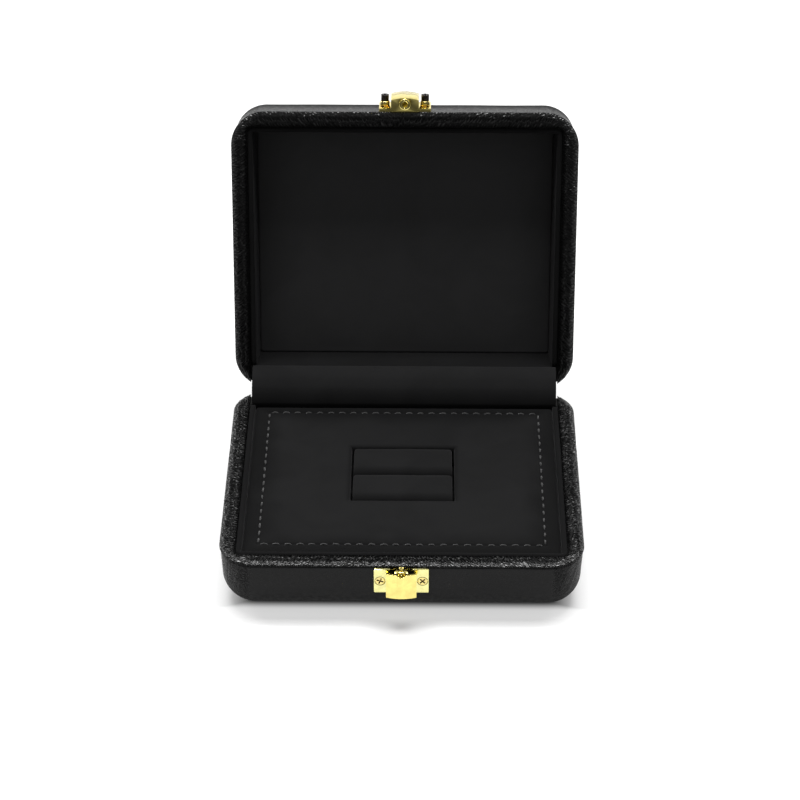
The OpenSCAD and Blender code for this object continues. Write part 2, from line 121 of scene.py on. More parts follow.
class Skin:
    """Collects grids of points in mm and makes one closed mesh of them."""

    def __init__(self):
        self.co, self.quads, self.quv, self.polys, self.puv, self.at, self.n = [], [], [], [], [], {}, 0

    def grid(self, P, UV, closed=False, **at):
        P = np.asarray(P, float)
        nu, nv = P.shape[:2]
        idx = np.arange(nu * nv).reshape(nu, nv) + self.n
        if closed:
            idx = np.vstack([idx, idx[:1]])
        UV = np.asarray(UV, float)
        self.quads.append(np.stack([idx[:-1, :-1], idx[1:, :-1], idx[1:, 1:], idx[:-1, 1:]], -1).reshape(-1, 4))
        self.quv.append(np.stack([UV[:-1, :-1], UV[1:, :-1], UV[1:, 1:], UV[:-1, 1:]], -2).reshape(-1, 4, 2))
        self.co.append(P.reshape(-1, 3))
        for k, v in at.items():
            self.at.setdefault(k, []).append((self.n, np.broadcast_to(v, (nu, nv)).reshape(-1)))
        self.n += nu * nv
        return self

    def poly(self, P, UV):
        P = np.asarray(P, float)
        self.polys.append(list(range(self.n, self.n + len(P))))
        self.puv.append(np.asarray(UV, float)[:, :2])
        self.co.append(P)
        self.n += len(P)
        return self

    def build(self, name, mat, body=None, pose=None, merge=2e-6, sharp=50, slot=None, replaces=()):
        co = np.concatenate(self.co)
        if pose is not None:
            co = pose(co)
        me = bpy.data.meshes.new(name)
        quads = np.concatenate(self.quads)
        me.from_pydata((co * 0.001).tolist(), [], quads.tolist() + self.polys)
        layer = me.uv_layers.new(name="Grain")
        uv = [np.concatenate(self.quv).reshape(-1, 2)] + self.puv
        layer.uv.foreach_set("vector", np.concatenate(uv).astype(np.float32).ravel())
        for k, parts in self.at.items():
            val = np.zeros(self.n, np.float32)
            for start, v in parts:
                val[start:start + len(v)] = v
            me.attributes.new(k, "FLOAT", "POINT").data.foreach_set("value", val)
        bm = bmesh.new()
        bm.from_mesh(me)
        bmesh.ops.remove_doubles(bm, verts=bm.verts, dist=merge)
        bmesh.ops.dissolve_degenerate(bm, edges=bm.edges, dist=merge * 0.5)
        bmesh.ops.recalc_face_normals(bm, faces=bm.faces)
        bm.to_mesh(me)
        bm.free()
        me.polygons.foreach_set("use_smooth", np.ones(len(me.polygons), bool))
        me.set_sharp_from_angle(angle=math.radians(sharp))
        me.materials.append(mat)
        ob = bpy.data.objects.new(name, me)
        bpy.context.scene.collection.objects.link(ob)
        if body:
            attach(ob, body)
        if replaces:
            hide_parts(*replaces)
        return ob


# ---------------------------------------------------------------- materials
class Graph:
    def __init__(self, name):
        self.mat = bpy.data.materials.new(name)
        self.mat.use_nodes = True
        self.t = self.mat.node_tree
        self.t.nodes.clear()
        self.out = self.t.nodes.new("ShaderNodeOutputMaterial")
        self.b = self.t.nodes.new("ShaderNodeBsdfPrincipled")
        self.t.links.new(self.b.outputs["BSDF"], self.out.inputs["Surface"])

    def n(self, kind, ins=None, **props):
        node = self.t.nodes.new(kind)
        for k, v in props.items():
            setattr(node, k, v)
        for k, v in (ins or {}).items():
            if hasattr(v, "is_linked") or hasattr(v, "links"):
                self.t.links.new(v, node.inputs[k])
            else:
                node.inputs[k].default_value = v
        return node

    def math(self, op, a, b=None, c=None, clamp=False):
        ins = {0: a}
        if b is not None:
            ins[1] = b
        if c is not None:
            ins[2] = c
        return self.n("ShaderNodeMath", ins, operation=op, use_clamp=clamp).outputs[0]

    def span(self, v, a, b, c=0.0, d=1.0, kind="SMOOTHSTEP"):
        return self.n("ShaderNodeMapRange", {"Value": v, "From Min": a, "From Max": b, "To Min": c, "To Max": d},
                      interpolation_type=kind).outputs[0]

    def mix(self, f, a, b):
        node = self.n("ShaderNodeMix", data_type="RGBA")
        for k, v in ((0, f), (6, a), (7, b)):
            if hasattr(v, "links"):
                self.t.links.new(v, node.inputs[k])
            else:
                node.inputs[k].default_value = v if k == 0 else (*v[:3], 1.0)
        return node.outputs[2]

    def noise(self, vec, scale, detail=3.0, rough=0.55, dims="2D", dist=0.0):
        return self.n("ShaderNodeTexNoise", {"Vector": vec, "Scale": scale, "Detail": detail, "Roughness": rough,
                                             "Distortion": dist}, noise_dimensions=dims).outputs[0]

    def set(self, **vals):
        for k, v in vals.items():
            key = k.replace("_", " ")
            if hasattr(v, "links"):
                self.t.links.new(v, self.b.inputs[key])
            else:
                self.b.inputs[key].default_value = v
        return self.mat


def uv_of(g):
    return g.n("ShaderNodeUVMap", uv_map="Grain").outputs[0]


def leather(name, cell=(1.35, 0.9), turn=32, tone=0.0055, rough=0.33, spec=0.3, depth=0.1, strength=0.8, wear=0.0,
            crease=0.2, coat=0.0):
    """Embossed black leather: long pebbles whose creases are darkened as painted shade, over the mm map called Grain.
    """
    g = Graph(name)
    uv = uv_of(g)
    w1 = g.n("ShaderNodeTexNoise", {"Vector": uv, "Scale": 0.16, "Detail": 2.0}, noise_dimensions="2D").outputs[1]
    w1 = g.n("ShaderNodeVectorMath", {0: w1, 1: (0.5, 0.5, 0.5)}, operation="SUBTRACT").outputs[0]
    w1 = g.n("ShaderNodeVectorMath", {0: w1, "Scale": 3.2}, operation="SCALE").outputs[0]
    vec = g.n("ShaderNodeVectorMath", {0: uv, 1: w1}, operation="ADD").outputs[0]
    mp = g.n("ShaderNodeMapping", {"Vector": vec, "Rotation": (0, 0, math.radians(turn)), "Scale": (cell[0], cell[1], 1)},
             vector_type="TEXTURE").outputs[0]
    edge = g.n("ShaderNodeTexVoronoi", {"Vector": mp, "Scale": 1.0, "Randomness": 0.85}, voronoi_dimensions="2D",
               feature="DISTANCE_TO_EDGE").outputs["Distance"]
    core = g.n("ShaderNodeTexVoronoi", {"Vector": mp, "Scale": 1.0, "Randomness": 0.85}, voronoi_dimensions="2D",
               feature="F1")
    dome = g.span(core.outputs["Distance"], 0.0, 0.75, 1.0, 0.0, "LINEAR")
    flat = g.span(edge, 0.0, crease)
    fine = g.noise(uv, 5.5, 3.0, 0.6)
    h = g.math("MULTIPLY_ADD", flat, 0.75, g.math("MULTIPLY", dome, 0.45))
    h = g.math("MULTIPLY_ADD", fine, 0.16, h)
    vary = g.n("ShaderNodeSeparateColor", {0: core.outputs["Color"]}).outputs[0]
    h = g.math("MULTIPLY_ADD", vary, 0.18, h)
    bump = g.n("ShaderNodeBump", {"Strength": strength, "Distance": depth * 0.001, "Height": h}).outputs[0]
    cloud = g.noise(uv, 0.045, 3.0, 0.5)
    lo = (tone * 0.35, tone * 0.35, tone * 0.36)
    hi = (tone, tone, tone * 1.04)
    # painted shade: the colour falls to about a third of the tone in the creases
    col = g.mix(flat, lo, hi)
    col = g.mix(g.span(cloud, 0.35, 0.7, 0.0, 0.5), col, (tone * 1.6, tone * 1.6, tone * 1.7))
    if wear:
        a = g.n("ShaderNodeAttribute", attribute_name="wear").outputs["Fac"]
        a = g.math("MULTIPLY", a, g.span(g.noise(uv, 0.9, 3.0, 0.6), 0.35, 0.75, 0.15, 1.0))
        col = g.mix(g.math("MULTIPLY", a, wear), col, (tone * 4.2, tone * 4.2, tone * 4.3))
    rg = g.span(flat, 0.0, 1.0, rough + 0.25, rough, "LINEAR")
    rg = g.math("MULTIPLY_ADD", g.noise(uv, 0.55, 3.0, 0.6), 0.16, g.math("SUBTRACT", rg, 0.08))
    return g.set(Base_Color=col, Roughness=rg, Normal=bump, Specular_IOR_Level=spec, Coat_Weight=coat,
                 Coat_Roughness=0.25)


def rim_leather(name, tone=0.0016, rough=0.14, spec=0.25):
    """Glossy black leather on the rims: the modelled grain has smooth glossy tops and dull creases, which are darkened
    in colour as painted shade.
    """
    g = Graph(name)
    uv = uv_of(g)
    pit = g.n("ShaderNodeAttribute", attribute_name="pit").outputs["Fac"]
    wear = g.n("ShaderNodeAttribute", attribute_name="wear").outputs["Fac"]
    fine = g.noise(uv, 4.0, 3.0, 0.6)
    cloud = g.noise(uv, 0.12, 3.0, 0.5)
    bump = g.n("ShaderNodeBump", {"Strength": 0.5, "Distance": 0.00003, "Height": fine}).outputs[0]
    # painted shade: the colour falls to a fifth of the tone in the creases
    col = g.mix(g.span(pit, 0.25, 0.85), (tone, tone, tone * 1.04), (tone * 0.2, tone * 0.2, tone * 0.2))
    rub = g.math("MULTIPLY", wear, g.span(cloud, 0.4, 0.7, 0.0, 0.5))
    col = g.mix(rub, col, (tone * 2.2, tone * 2.2, tone * 2.25))
    rg = g.span(pit, 0.25, 0.8, rough, 0.4)
    rg = g.math("ADD", rg, g.span(g.noise(uv, 0.7, 3.0, 0.6), 0.35, 0.7, -0.04, 0.1))
    seam = g.n("ShaderNodeAttribute", attribute_name="seam").outputs["Fac"]
    shine = g.math("MULTIPLY", g.math("MULTIPLY_ADD", g.math("POWER", wear, 3.0), 1.2, 0.58), g.math("MULTIPLY_ADD", seam, -0.8, 1.0))
    return g.set(Base_Color=col, Roughness=rg, Normal=bump, Specular_IOR_Level=g.math("MULTIPLY", shine, spec))


def wall_leather(name, tone=0.0022, rough=0.3, spec=0.17, grain=0.016, gather=0.24, streak=0.09):
    """Leather drawn tight over the shell walls: faint upright stretch lines, and gathered ridges at the corners with
    painted shade in their valleys.
    """
    g = Graph(name)
    uv = uv_of(g)
    at = lambda k: g.n("ShaderNodeAttribute", attribute_name=k).outputs["Fac"]
    along, up, fold = at("along"), at("up"), at("fold")
    swell = g.n("ShaderNodeVectorMath", {0: g.n("ShaderNodeTexNoise", {"Vector": uv, "Scale": 0.22, "Detail": 2.0},
                                                noise_dimensions="2D").outputs[1], "Scale": 3.0}, operation="SCALE").outputs[0]
    lines = g.n("ShaderNodeCombineXYZ", {0: along, 1: g.math("MULTIPLY", up, 0.16), 2: 0.0}).outputs[0]
    line = g.noise(lines, 0.75, 3.0, 0.55)
    rid = g.n("ShaderNodeCombineXYZ", {0: g.math("MULTIPLY_ADD", up, 0.22, along), 1: up, 2: 0.0}).outputs[0]
    rid = g.n("ShaderNodeVectorMath", {0: rid, 1: swell}, operation="ADD").outputs[0]
    rid = g.n("ShaderNodeMapping", {"Vector": rid, "Scale": (0.62, 1.9, 1)}, vector_type="TEXTURE").outputs[0]
    ridge = g.span(g.n("ShaderNodeTexVoronoi", {"Vector": rid, "Scale": 1.0, "Randomness": 0.9}, voronoi_dimensions="2D",
                       feature="DISTANCE_TO_EDGE").outputs["Distance"], 0.0, 0.35)
    cell = g.n("ShaderNodeMapping", {"Vector": uv, "Rotation": (0, 0, 0.55), "Scale": (1.15, 0.8, 1)},
               vector_type="TEXTURE").outputs[0]
    peb = g.span(g.n("ShaderNodeTexVoronoi", {"Vector": cell, "Scale": 1.0, "Randomness": 0.9}, voronoi_dimensions="2D",
                     feature="DISTANCE_TO_EDGE").outputs["Distance"], 0.0, 0.3)
    h = g.math("MULTIPLY", peb, grain)
    h = g.math("MULTIPLY_ADD", g.math("MULTIPLY", ridge, fold), gather, h)
    h = g.math("MULTIPLY_ADD", line, streak, h)
    h = g.math("MULTIPLY_ADD", g.noise(uv, 3.5, 3.0, 0.6), 0.010, h)
    bump = g.n("ShaderNodeBump", {"Strength": 1.0, "Distance": 0.001, "Height": h}).outputs[0]
    cloud = g.noise(uv, 0.045, 3.0, 0.5)
    # painted shade: the colour falls to about a third of the tone in the valleys between the gathered ridges at the
    # corners
    col = g.mix(g.math("MULTIPLY", g.span(ridge, 0.0, 1.0, 1.0, 0.0), fold), (tone, tone, tone * 1.04),
                (tone * 0.3, tone * 0.3, tone * 0.3))
    col = g.mix(g.span(cloud, 0.35, 0.7, 0.0, 0.5), col, (tone * 1.5, tone * 1.5, tone * 1.6))
    rg = g.span(g.noise(uv, 0.5, 3.0, 0.6), 0.3, 0.7, rough - 0.05, rough + 0.08)
    rg = g.math("ADD", rg, g.span(up, 3.0, 15.0, 0.4, 0.0))
    return g.set(Base_Color=col, Roughness=rg, Normal=bump,
                 Specular_IOR_Level=g.math("MULTIPLY", g.math("MULTIPLY", g.span(up, 2.0, 14.0, 0.5, 1.0), g.span(fold, 0.1, 1.0, 1.0, 0.62)), spec))


def suede(name, tone=0.016, sheen=0.25, nap=0.35, spec=0.12, mottle=0.25, turn=0.0):
    """Fine black suede: short nap, soft clouds where the nap lies another way."""
    g = Graph(name)
    uv = uv_of(g)
    fibre = g.n("ShaderNodeMapping", {"Vector": uv, "Rotation": (0, 0, math.radians(turn)), "Scale": (0.16, 0.34, 1)},
                vector_type="TEXTURE").outputs[0]
    fine = g.noise(fibre, 1.0, 4.0, 0.7)
    mid = g.noise(uv, 0.9, 4.0, 0.6)
    cloud = g.noise(uv, 0.035, 4.0, 0.5, dist=0.6)
    h = g.math("MULTIPLY_ADD", mid, 0.5, fine)
    bump = g.n("ShaderNodeBump", {"Strength": nap, "Distance": 0.00006, "Height": h}).outputs[0]
    lo, hi = tone * (1 - mottle), tone * (1 + mottle)
    col = g.mix(g.span(cloud, 0.32, 0.68), (lo, lo, lo * 1.02), (hi, hi, hi * 1.02))
    col = g.mix(g.span(fine, 0.3, 0.75, 0.0, 0.55, "LINEAR"), col, (tone * 1.7, tone * 1.7, tone * 1.75))
    # painted shade: the edge attribute darkens the colour by up to half
    edge = g.n("ShaderNodeAttribute", attribute_name="edge").outputs["Fac"]
    col = g.mix(g.math("MULTIPLY", edge, 0.5), col, (0.0, 0.0, 0.0))
    return g.set(Base_Color=col, Roughness=0.95, Normal=bump, Specular_IOR_Level=spec, Sheen_Weight=sheen,
                 Sheen_Roughness=0.45, Sheen_Tint=(0.6, 0.6, 0.62, 1.0))


def metal(name, colour, rough=0.14, scratch=0.25, dark=None, scale=2500, recess_shade=None):
    """Plated metal with faint polishing lines and slightly uneven gloss, over the piece's own coordinates."""
    g = Graph(name)
    ob = g.n("ShaderNodeTexCoord").outputs["Object"]
    lines = g.n("ShaderNodeMapping", {"Vector": ob, "Scale": (scale * 0.12, scale, scale * 2.2)}).outputs[0]
    fine = g.noise(lines, 1.0, 3.0, 0.6, dims="3D")
    soft = g.noise(ob, 420.0, 2.0, 0.5, dims="3D")
    bump = g.n("ShaderNodeBump", {"Strength": scratch, "Distance": 0.000006,
                                  "Height": g.math("MULTIPLY_ADD", soft, 2.0, fine)}).outputs[0]
    rg = g.math("MULTIPLY_ADD", g.noise(ob, 900.0, 3.0, 0.6, dims="3D"), rough * 0.9, rough * 0.5)
    d = dark or tuple(c * 0.86 for c in colour)
    col = g.mix(g.span(soft, 0.3, 0.7), d, colour)
    # painted shade: ambient occlusion darkens the colour toward dark brown in recesses such as the screw slots and
    # round the heads
    if recess_shade:
        ao = g.n("ShaderNodeAmbientOcclusion", {"Distance": 0.0012}, samples=8).outputs["AO"]
        col = g.mix(g.span(ao, 0.35, 0.9, 1.0, 0.0), col, recess_shade)
    return g.set(Base_Color=col, Roughness=rg, Normal=bump, Metallic=1.0)


def wood(name, n, off):
    """Milled wood, darkened to near black within a millimetre or two of its rim plane: normal n, distance off."""
    g = Graph(name)
    ob = g.n("ShaderNodeTexCoord").outputs["Object"]
    st = g.n("ShaderNodeMapping", {"Vector": ob, "Scale": (18.0, 260.0, 260.0)}).outputs[0]
    a = g.noise(st, 1.0, 5.0, 0.6, dims="3D", dist=0.7)
    b = g.noise(ob, 1500.0, 3.0, 0.6, dims="3D")
    col = g.mix(g.span(a, 0.3, 0.7), (0.28, 0.17, 0.09), (0.47, 0.32, 0.19))
    up = g.n("ShaderNodeVectorMath", {0: ob, 1: n}, operation="DOT_PRODUCT").outputs["Value"]
    col = g.mix(g.span(up, off - 0.004, off - 0.0034), col, (0.0035, 0.0032, 0.003))
    bump = g.n("ShaderNodeBump", {"Strength": 0.4, "Distance": 0.0001, "Height": g.math("ADD", a, b)}).outputs[0]
    return g.set(Base_Color=col, Roughness=0.7, Normal=bump)


def felt(name, tone):
    g = Graph(name)
    ob = g.n("ShaderNodeTexCoord").outputs["Object"]
    a = g.noise(ob, 1800.0, 5.0, 0.75, dims="3D")
    b = g.noise(ob, 90.0, 3.0, 0.6, dims="3D")
    col = g.mix(g.span(a, 0.3, 0.7), tuple(c * 0.6 for c in tone), tuple(c * 1.4 for c in tone))
    col = g.mix(g.span(b, 0.4, 0.7, 0.0, 0.3), col, tuple(c * 1.8 for c in tone))
    bump = g.n("ShaderNodeBump", {"Strength": 0.7, "Distance": 0.0002, "Height": a}).outputs[0]
    return g.set(Base_Color=col, Roughness=0.98, Normal=bump, Sheen_Weight=0.3, Specular_IOR_Level=0.15)


def thread(name, tone):
    g = Graph(name)
    uv = uv_of(g)
    mp = g.n("ShaderNodeMapping", {"Vector": uv, "Rotation": (0, 0, math.radians(38)), "Scale": (0.34, 0.34, 1)},
             vector_type="TEXTURE").outputs[0]
    wave = g.n("ShaderNodeTexWave", {"Vector": mp, "Scale": 0.5, "Distortion": 0.6}, wave_type="BANDS",
               bands_direction="X").outputs[1]
    bump = g.n("ShaderNodeBump", {"Strength": 0.7, "Distance": 0.00008, "Height": wave}).outputs[0]
    # painted shade: the grooves between the twisted plies are darker
    col = g.mix(wave, tuple(c * 0.55 for c in tone), tone)
    return g.set(Base_Color=col, Roughness=0.6, Normal=bump, Specular_IOR_Level=0.4, Sheen_Weight=0.3)


M_BASE = wall_leather("base_leather")
M_LID = wall_leather("lid_leather", grain=0.07, gather=0.24, spec=0.26)
M_RIM = rim_leather("rim_leather")
M_SPINE = leather("spine_leather", cell=(1.2, 0.9), turn=24, tone=0.0024, rough=0.36, spec=0.22)
# the suede copies differ in tone to set each piece's brightness under these lamps, painted light on copies of one
# suede: the lid panel is about three times as light as the pad, and the lid walls are lighter than the base walls
M_PAD = suede("pad_suede", tone=0.0059, sheen=0.05, spec=0.06, mottle=0.14)
M_WALL = suede("wall_suede", tone=0.0036, sheen=0.05, spec=0.05, mottle=0.12, turn=90)
M_WALL_LID = suede("wall_suede_lid", tone=0.0046, sheen=0.02, spec=0.03, mottle=0.12, turn=90)
M_PANEL = suede("panel_suede", tone=0.0195, sheen=0.05, spec=0.06, mottle=0.08)
M_ROLL = suede("roll_suede", tone=0.0056, sheen=0.05, spec=0.06, mottle=0.14, turn=90)
M_FLAP = suede("flap_suede", tone=0.0072, sheen=0.05, spec=0.05, mottle=0.12)
M_STITCH = thread("stitch_thread", (0.008, 0.008, 0.0083))
M_GOLD = metal("latch_gold", (0.98, 0.83, 0.27), rough=0.12)
M_PLATE = metal("plate_gold", (0.92, 0.87, 0.38), rough=0.2, scratch=0.4)
M_GOLD2 = metal("screw_gold", (0.94, 0.78, 0.30), rough=0.16, scratch=0.4, recess_shade=(0.14, 0.07, 0.02))
M_BLACK = metal("screw_black", (0.055, 0.045, 0.038), rough=0.3)
M_STEEL = metal("hinge_steel", (0.62, 0.60, 0.54), rough=0.28, scratch=0.6)
M_BRASS = metal("rivet_brass", (0.78, 0.60, 0.30), rough=0.25)
M_BRONZE = metal("spring_bronze", (0.72, 0.50, 0.26), rough=0.25)
M_WOOD = wood("shell_wood", (0.0, 0.0, 1.0), 0.0232)
M_WOOD_LID = wood("shell_wood_lid", (0.0, -math.sin(OPEN), -math.cos(OPEN)),
                  -0.001 * (HD * math.sin(OPEN) + AXIS_Z * math.cos(OPEN)) - 0.0016)
M_FELT = felt("foot_felt", (0.016, 0.016, 0.017))
M_CARD = felt("card_board", (0.03, 0.029, 0.028))


# ---------------------------------------------------------------- rounded plan
def plan(step=0.9, narc=48):
    """Stations round the plan: corner centre, outward direction, run length and how far into a corner each is."""
    rows, s = [], 0.0

    def line(x0, y0, x1, y1, nx, ny, k=None):
        nonlocal s
        length = math.hypot(x1 - x0, y1 - y0)
        n = max(2, int(round(length / step)))
        for i in range(n):
            t = i / n
            rows.append((x0 + (x1 - x0) * t, y0 + (y1 - y0) * t, nx, ny, s + length * t, 0.0))
        s += length

    def arc(cx, cy, a0, a1):
        nonlocal s
        length = CR * abs(a1 - a0)
        for i in range(narc):
            t = i / narc
            a = a0 + (a1 - a0) * t
            rows.append((cx, cy, math.cos(a), math.sin(a), s + length * t, math.sin(math.pi * t)))
        s += length

    h = math.pi / 2
    line(0, AY, AX, AY, 0, 1)
    arc(AX, AY, h, 0)
    line(AX, AY, AX, -AY, 1, 0)
    arc(AX, -AY, 0, -h)
    line(AX, -AY, -AX, -AY, 0, -1)
    arc(-AX, -AY, -h, -2 * h)
    line(-AX, -AY, -AX, AY, -1, 0)
    arc(-AX, AY, 2 * h, h)
    line(-AX, AY, 0, AY, 0, 1)
    return np.array(rows), s


PLAN, PLAN_S = plan()


def wall_profile(er, z0, ztop, zrim, inner):
    """The outer wall's section: distance from the corner centre line, height and run length."""
    czz = z0 + er
    cx = CR - CREASE - er * COS - (zrim - (czz - er * SIN)) * TAN
    pts = []
    a0, a1 = -math.pi / 2, -math.asin(SIN)
    for i in range(41):
        a = a0 + (a1 - a0) * i / 40
        pts.append((cx + er * math.cos(a), czz + er * math.sin(a)))
    px, pz = pts[-1]
    zr = ztop - 1.1
    n = max(4, int((zr - pz) / 0.3))
    for i in range(1, n + 1):
        z = pz + (zr - pz) * i / n
        pts.append((px + (z - pz) * TAN, z))
    dx = pts[-1][0]
    for i in range(1, 8):
        a = math.pi / 2 * i / 7
        pts.append((dx - 0.75 * (1 - math.cos(a)), zr + 1.1 * math.sin(a)))
    outer = len(pts)
    t = inner
    pts.append((pts[-1][0] - 0.3, ztop))
    r = er - t
    pts.append((px - t + (ztop - 0.5 - pz) * TAN, ztop - 0.5))
    for i in range(11):
        a = a1 + (a0 - a1) * i / 10
        pts.append((cx + r * math.cos(a), czz + r * math.sin(a)))
    pts = np.array(pts)
    run = np.concatenate([[0], np.cumsum(np.hypot(*np.diff(pts, axis=0).T))]) + pts[0, 0]
    return pts[:, 0], pts[:, 1], run, outer


def shell(er, z0, ztop, zrim, seed, seat_z):
    """Leather-wrapped shell as one closed skin, gathered a little at the corners. Returns the skin and its edge loops."""
    d, z, run, outer = wall_profile(er, z0, ztop, zrim, 0.8)
    st = PLAN
    nx, ny = st[:, 2:3], st[:, 3:4]
    s, k = st[:, 4:5], st[:, 5:6]
    D = np.broadcast_to(d, (len(st), len(d))).copy()
    Z = np.broadcast_to(z, D.shape).copy()
    wall = smooth(z0 + 0.6, z0 + er * 0.8, Z) * (np.arange(len(d)) < outer)
    amp = smooth(0.1, 0.8, np.broadcast_to(k, D.shape))
    ph = s * 1.0 + 1.6 * np.sin(s * 0.37 + seed) + 0.25 * Z
    gather = np.sin(ph * math.tau / 2.3) * 0.6 + np.sin(ph * math.tau / 1.43 + 1.3) * 0.4
    fade = 0.35 + 0.65 * smooth(z0 + er * 0.3, ztop, Z)
    D += 0.075 * gather * amp * wall * fade
    D += 0.06 * waves(s + 0 * Z, Z * 1.5, seed + 5, 26) * wall - 0.06 * wall
    X = st[:, 0:1] + nx * D
    Y = st[:, 1:2] + ny * D
    P = np.stack([X, Y, Z], -1)
    near = smooth(10.4, 9.7, np.abs(X)) * smooth(seat_z[0] - 0.5, seat_z[0] + 0.1, Z) * (Y < -50) * (Z < seat_z[1])
    P[..., 1] = np.where(near > 0, np.maximum(P[..., 1], P[..., 1] * (1 - near) + (SEAT_Y + 0.02) * near), P[..., 1])
    R = np.broadcast_to(run, D.shape)
    # flat development of the sheet: corners gathered, so the grain crowds together there
    UV = np.stack([st[:, 0:1] + nx * R, st[:, 1:2] + ny * R], -1)
    UV = np.concatenate([UV, UV[:1]])
    sk = Skin()
    fold = smooth(0.02, 0.55, np.broadcast_to(k, D.shape)) * smooth(z0 + 0.5, z0 + er * 0.5, Z) * (0.45 + 0.55 * smooth(z0, ztop, Z))
    sk.grid(P, UV, closed=True, along=np.broadcast_to(s, D.shape), up=Z, fold=np.maximum(fold, 0.06))
    return sk, P, UV


# ---------------------------------------------------------------- base shell
sk, P, UV = shell(12.0, 0.8, 23.2, 24.5, 3, (12.8, 30))
sk.poly(P[:, 0], UV[:-1, 0])
sk.poly(P[:, -1], UV[:-1, -1])
base_shell = sk.build("base_shell", M_BASE, "base", slot="grain_leather", replaces=("base_wrap",))

# ---------------------------------------------------------------- lid shell, with a softly padded top
sk, P, UV = shell(5.5, 0.0, 18.7, 20.0, 11, (8.3, 30))
ring = P[:, 0]
rows_t = np.concatenate([[0.0], np.linspace(0.02, 0.97, 46)])
dome = []
duv = []
for t in rows_t:
    q = ring.copy()
    q[:, :2] *= 1 - t
    edge = (1 - t)
    q[:, 2] = 0.0 + 0.35 * smooth(0.0, 0.06, t) * 0 + 0.0
    dome.append(q)
    duv.append(q[:, :2])
dome = np.array(dome).transpose(1, 0, 2)
rad = 1 - rows_t[None, :]
press = 0.42 * smooth(0.93, 1.0, rad) + 0.1 * smooth(0.0, 0.93, rad)
dome[..., 2] = press + 0.05 * waves(dome[..., 0], dome[..., 1], 17, 30) * smooth(1.0, 0.9, rad) + 0.02
# the wall section meets the lowered border
sk.co[0] = sk.co[0].copy()
w = smooth(3.2, 0.0, sk.co[0][:, 2]) * (np.arange(len(sk.co[0])) % P.shape[1] < 48)
sk.co[0][:, 2] += 0.44 * w
dome[:, 0] = sk.co[0].reshape(P.shape)[:, 0]
duvs = dome[..., :2].copy()
duvs = np.concatenate([duvs, duvs[:1]])
sk.grid(dome, duvs, closed=True, along=dome[..., 0], up=dome[..., 1] * 0.5, fold=np.full(dome.shape[:2], 0.05))
sk.poly(dome[:, -1], dome[:, -1, :2])
sk.poly(P[:, -1], UV[:-1, -1])
lid_shell = sk.build("lid_shell", M_LID, "lid", pose=lid, slot="grain_leather", replaces=("lid_wrap",))


# ---------------------------------------------------------------- rim bands
def sd_rrect(x, y, x1, y0, y1, r):
    cx, cy = 0.0, (y0 + y1) / 2
    qx = np.abs(x - cx) - (x1 - r)
    qy = np.abs(y - cy) - ((y1 - y0) / 2 - r)
    return np.hypot(np.maximum(qx, 0), np.maximum(qy, 0)) + np.minimum(np.maximum(qx, qy), 0) - r


def ray_inner(cx, cy, dx, dy):
    lo, hi = 0.0, 14.0
    for _ in range(40):
        m = (lo + hi) / 2
        if sd_rrect(cx + dx * m, cy + dy * m, CX, CF, CB, CVR) < 0:
            lo = m
        else:
            hi = m
    return cx + dx * lo, cy + dy * lo


def band_path(step=0.17):
    half = []
    end = math.acos((60.0 - AX) / CR)
    n = int(CR * end / step)
    for i in range(n):
        a = end * (1 - i / n)
        half.append((AX + CR * math.cos(a), AY + CR * math.sin(a), CX, AY + (CB - AY) * (a / end), CR * (end - a)))
    s = CR * end
    n = int(2 * AY / step)
    for i in range(n):
        y = AY - 2 * AY * i / n
        half.append((AX + CR, y, CX, y, s + AY - y))
    s += 2 * AY
    n = int(CR * math.pi / 2 / step)
    for i in range(n):
        a = -math.pi / 2 * i / n
        dx, dy = math.cos(a), math.sin(a)
        ix, iy = ray_inner(AX, -AY, dx, dy)
        half.append((AX + CR * dx, -AY + CR * dy, ix, iy, s - CR * a))
    s += CR * math.pi / 2
    n = int(AX / step)
    for i in range(n + 1):
        x = AX * (1 - i / n)
        half.append((x, -AY - CR, x, CF, s + AX - x))
    h = np.array(half)
    o = h[:-1][::-1].copy()
    o[:, [0, 2]] *= -1
    o[:, 4] = 2 * h[-1, 4] - o[:, 4]
    return np.concatenate([h, o])


BAND = band_path()


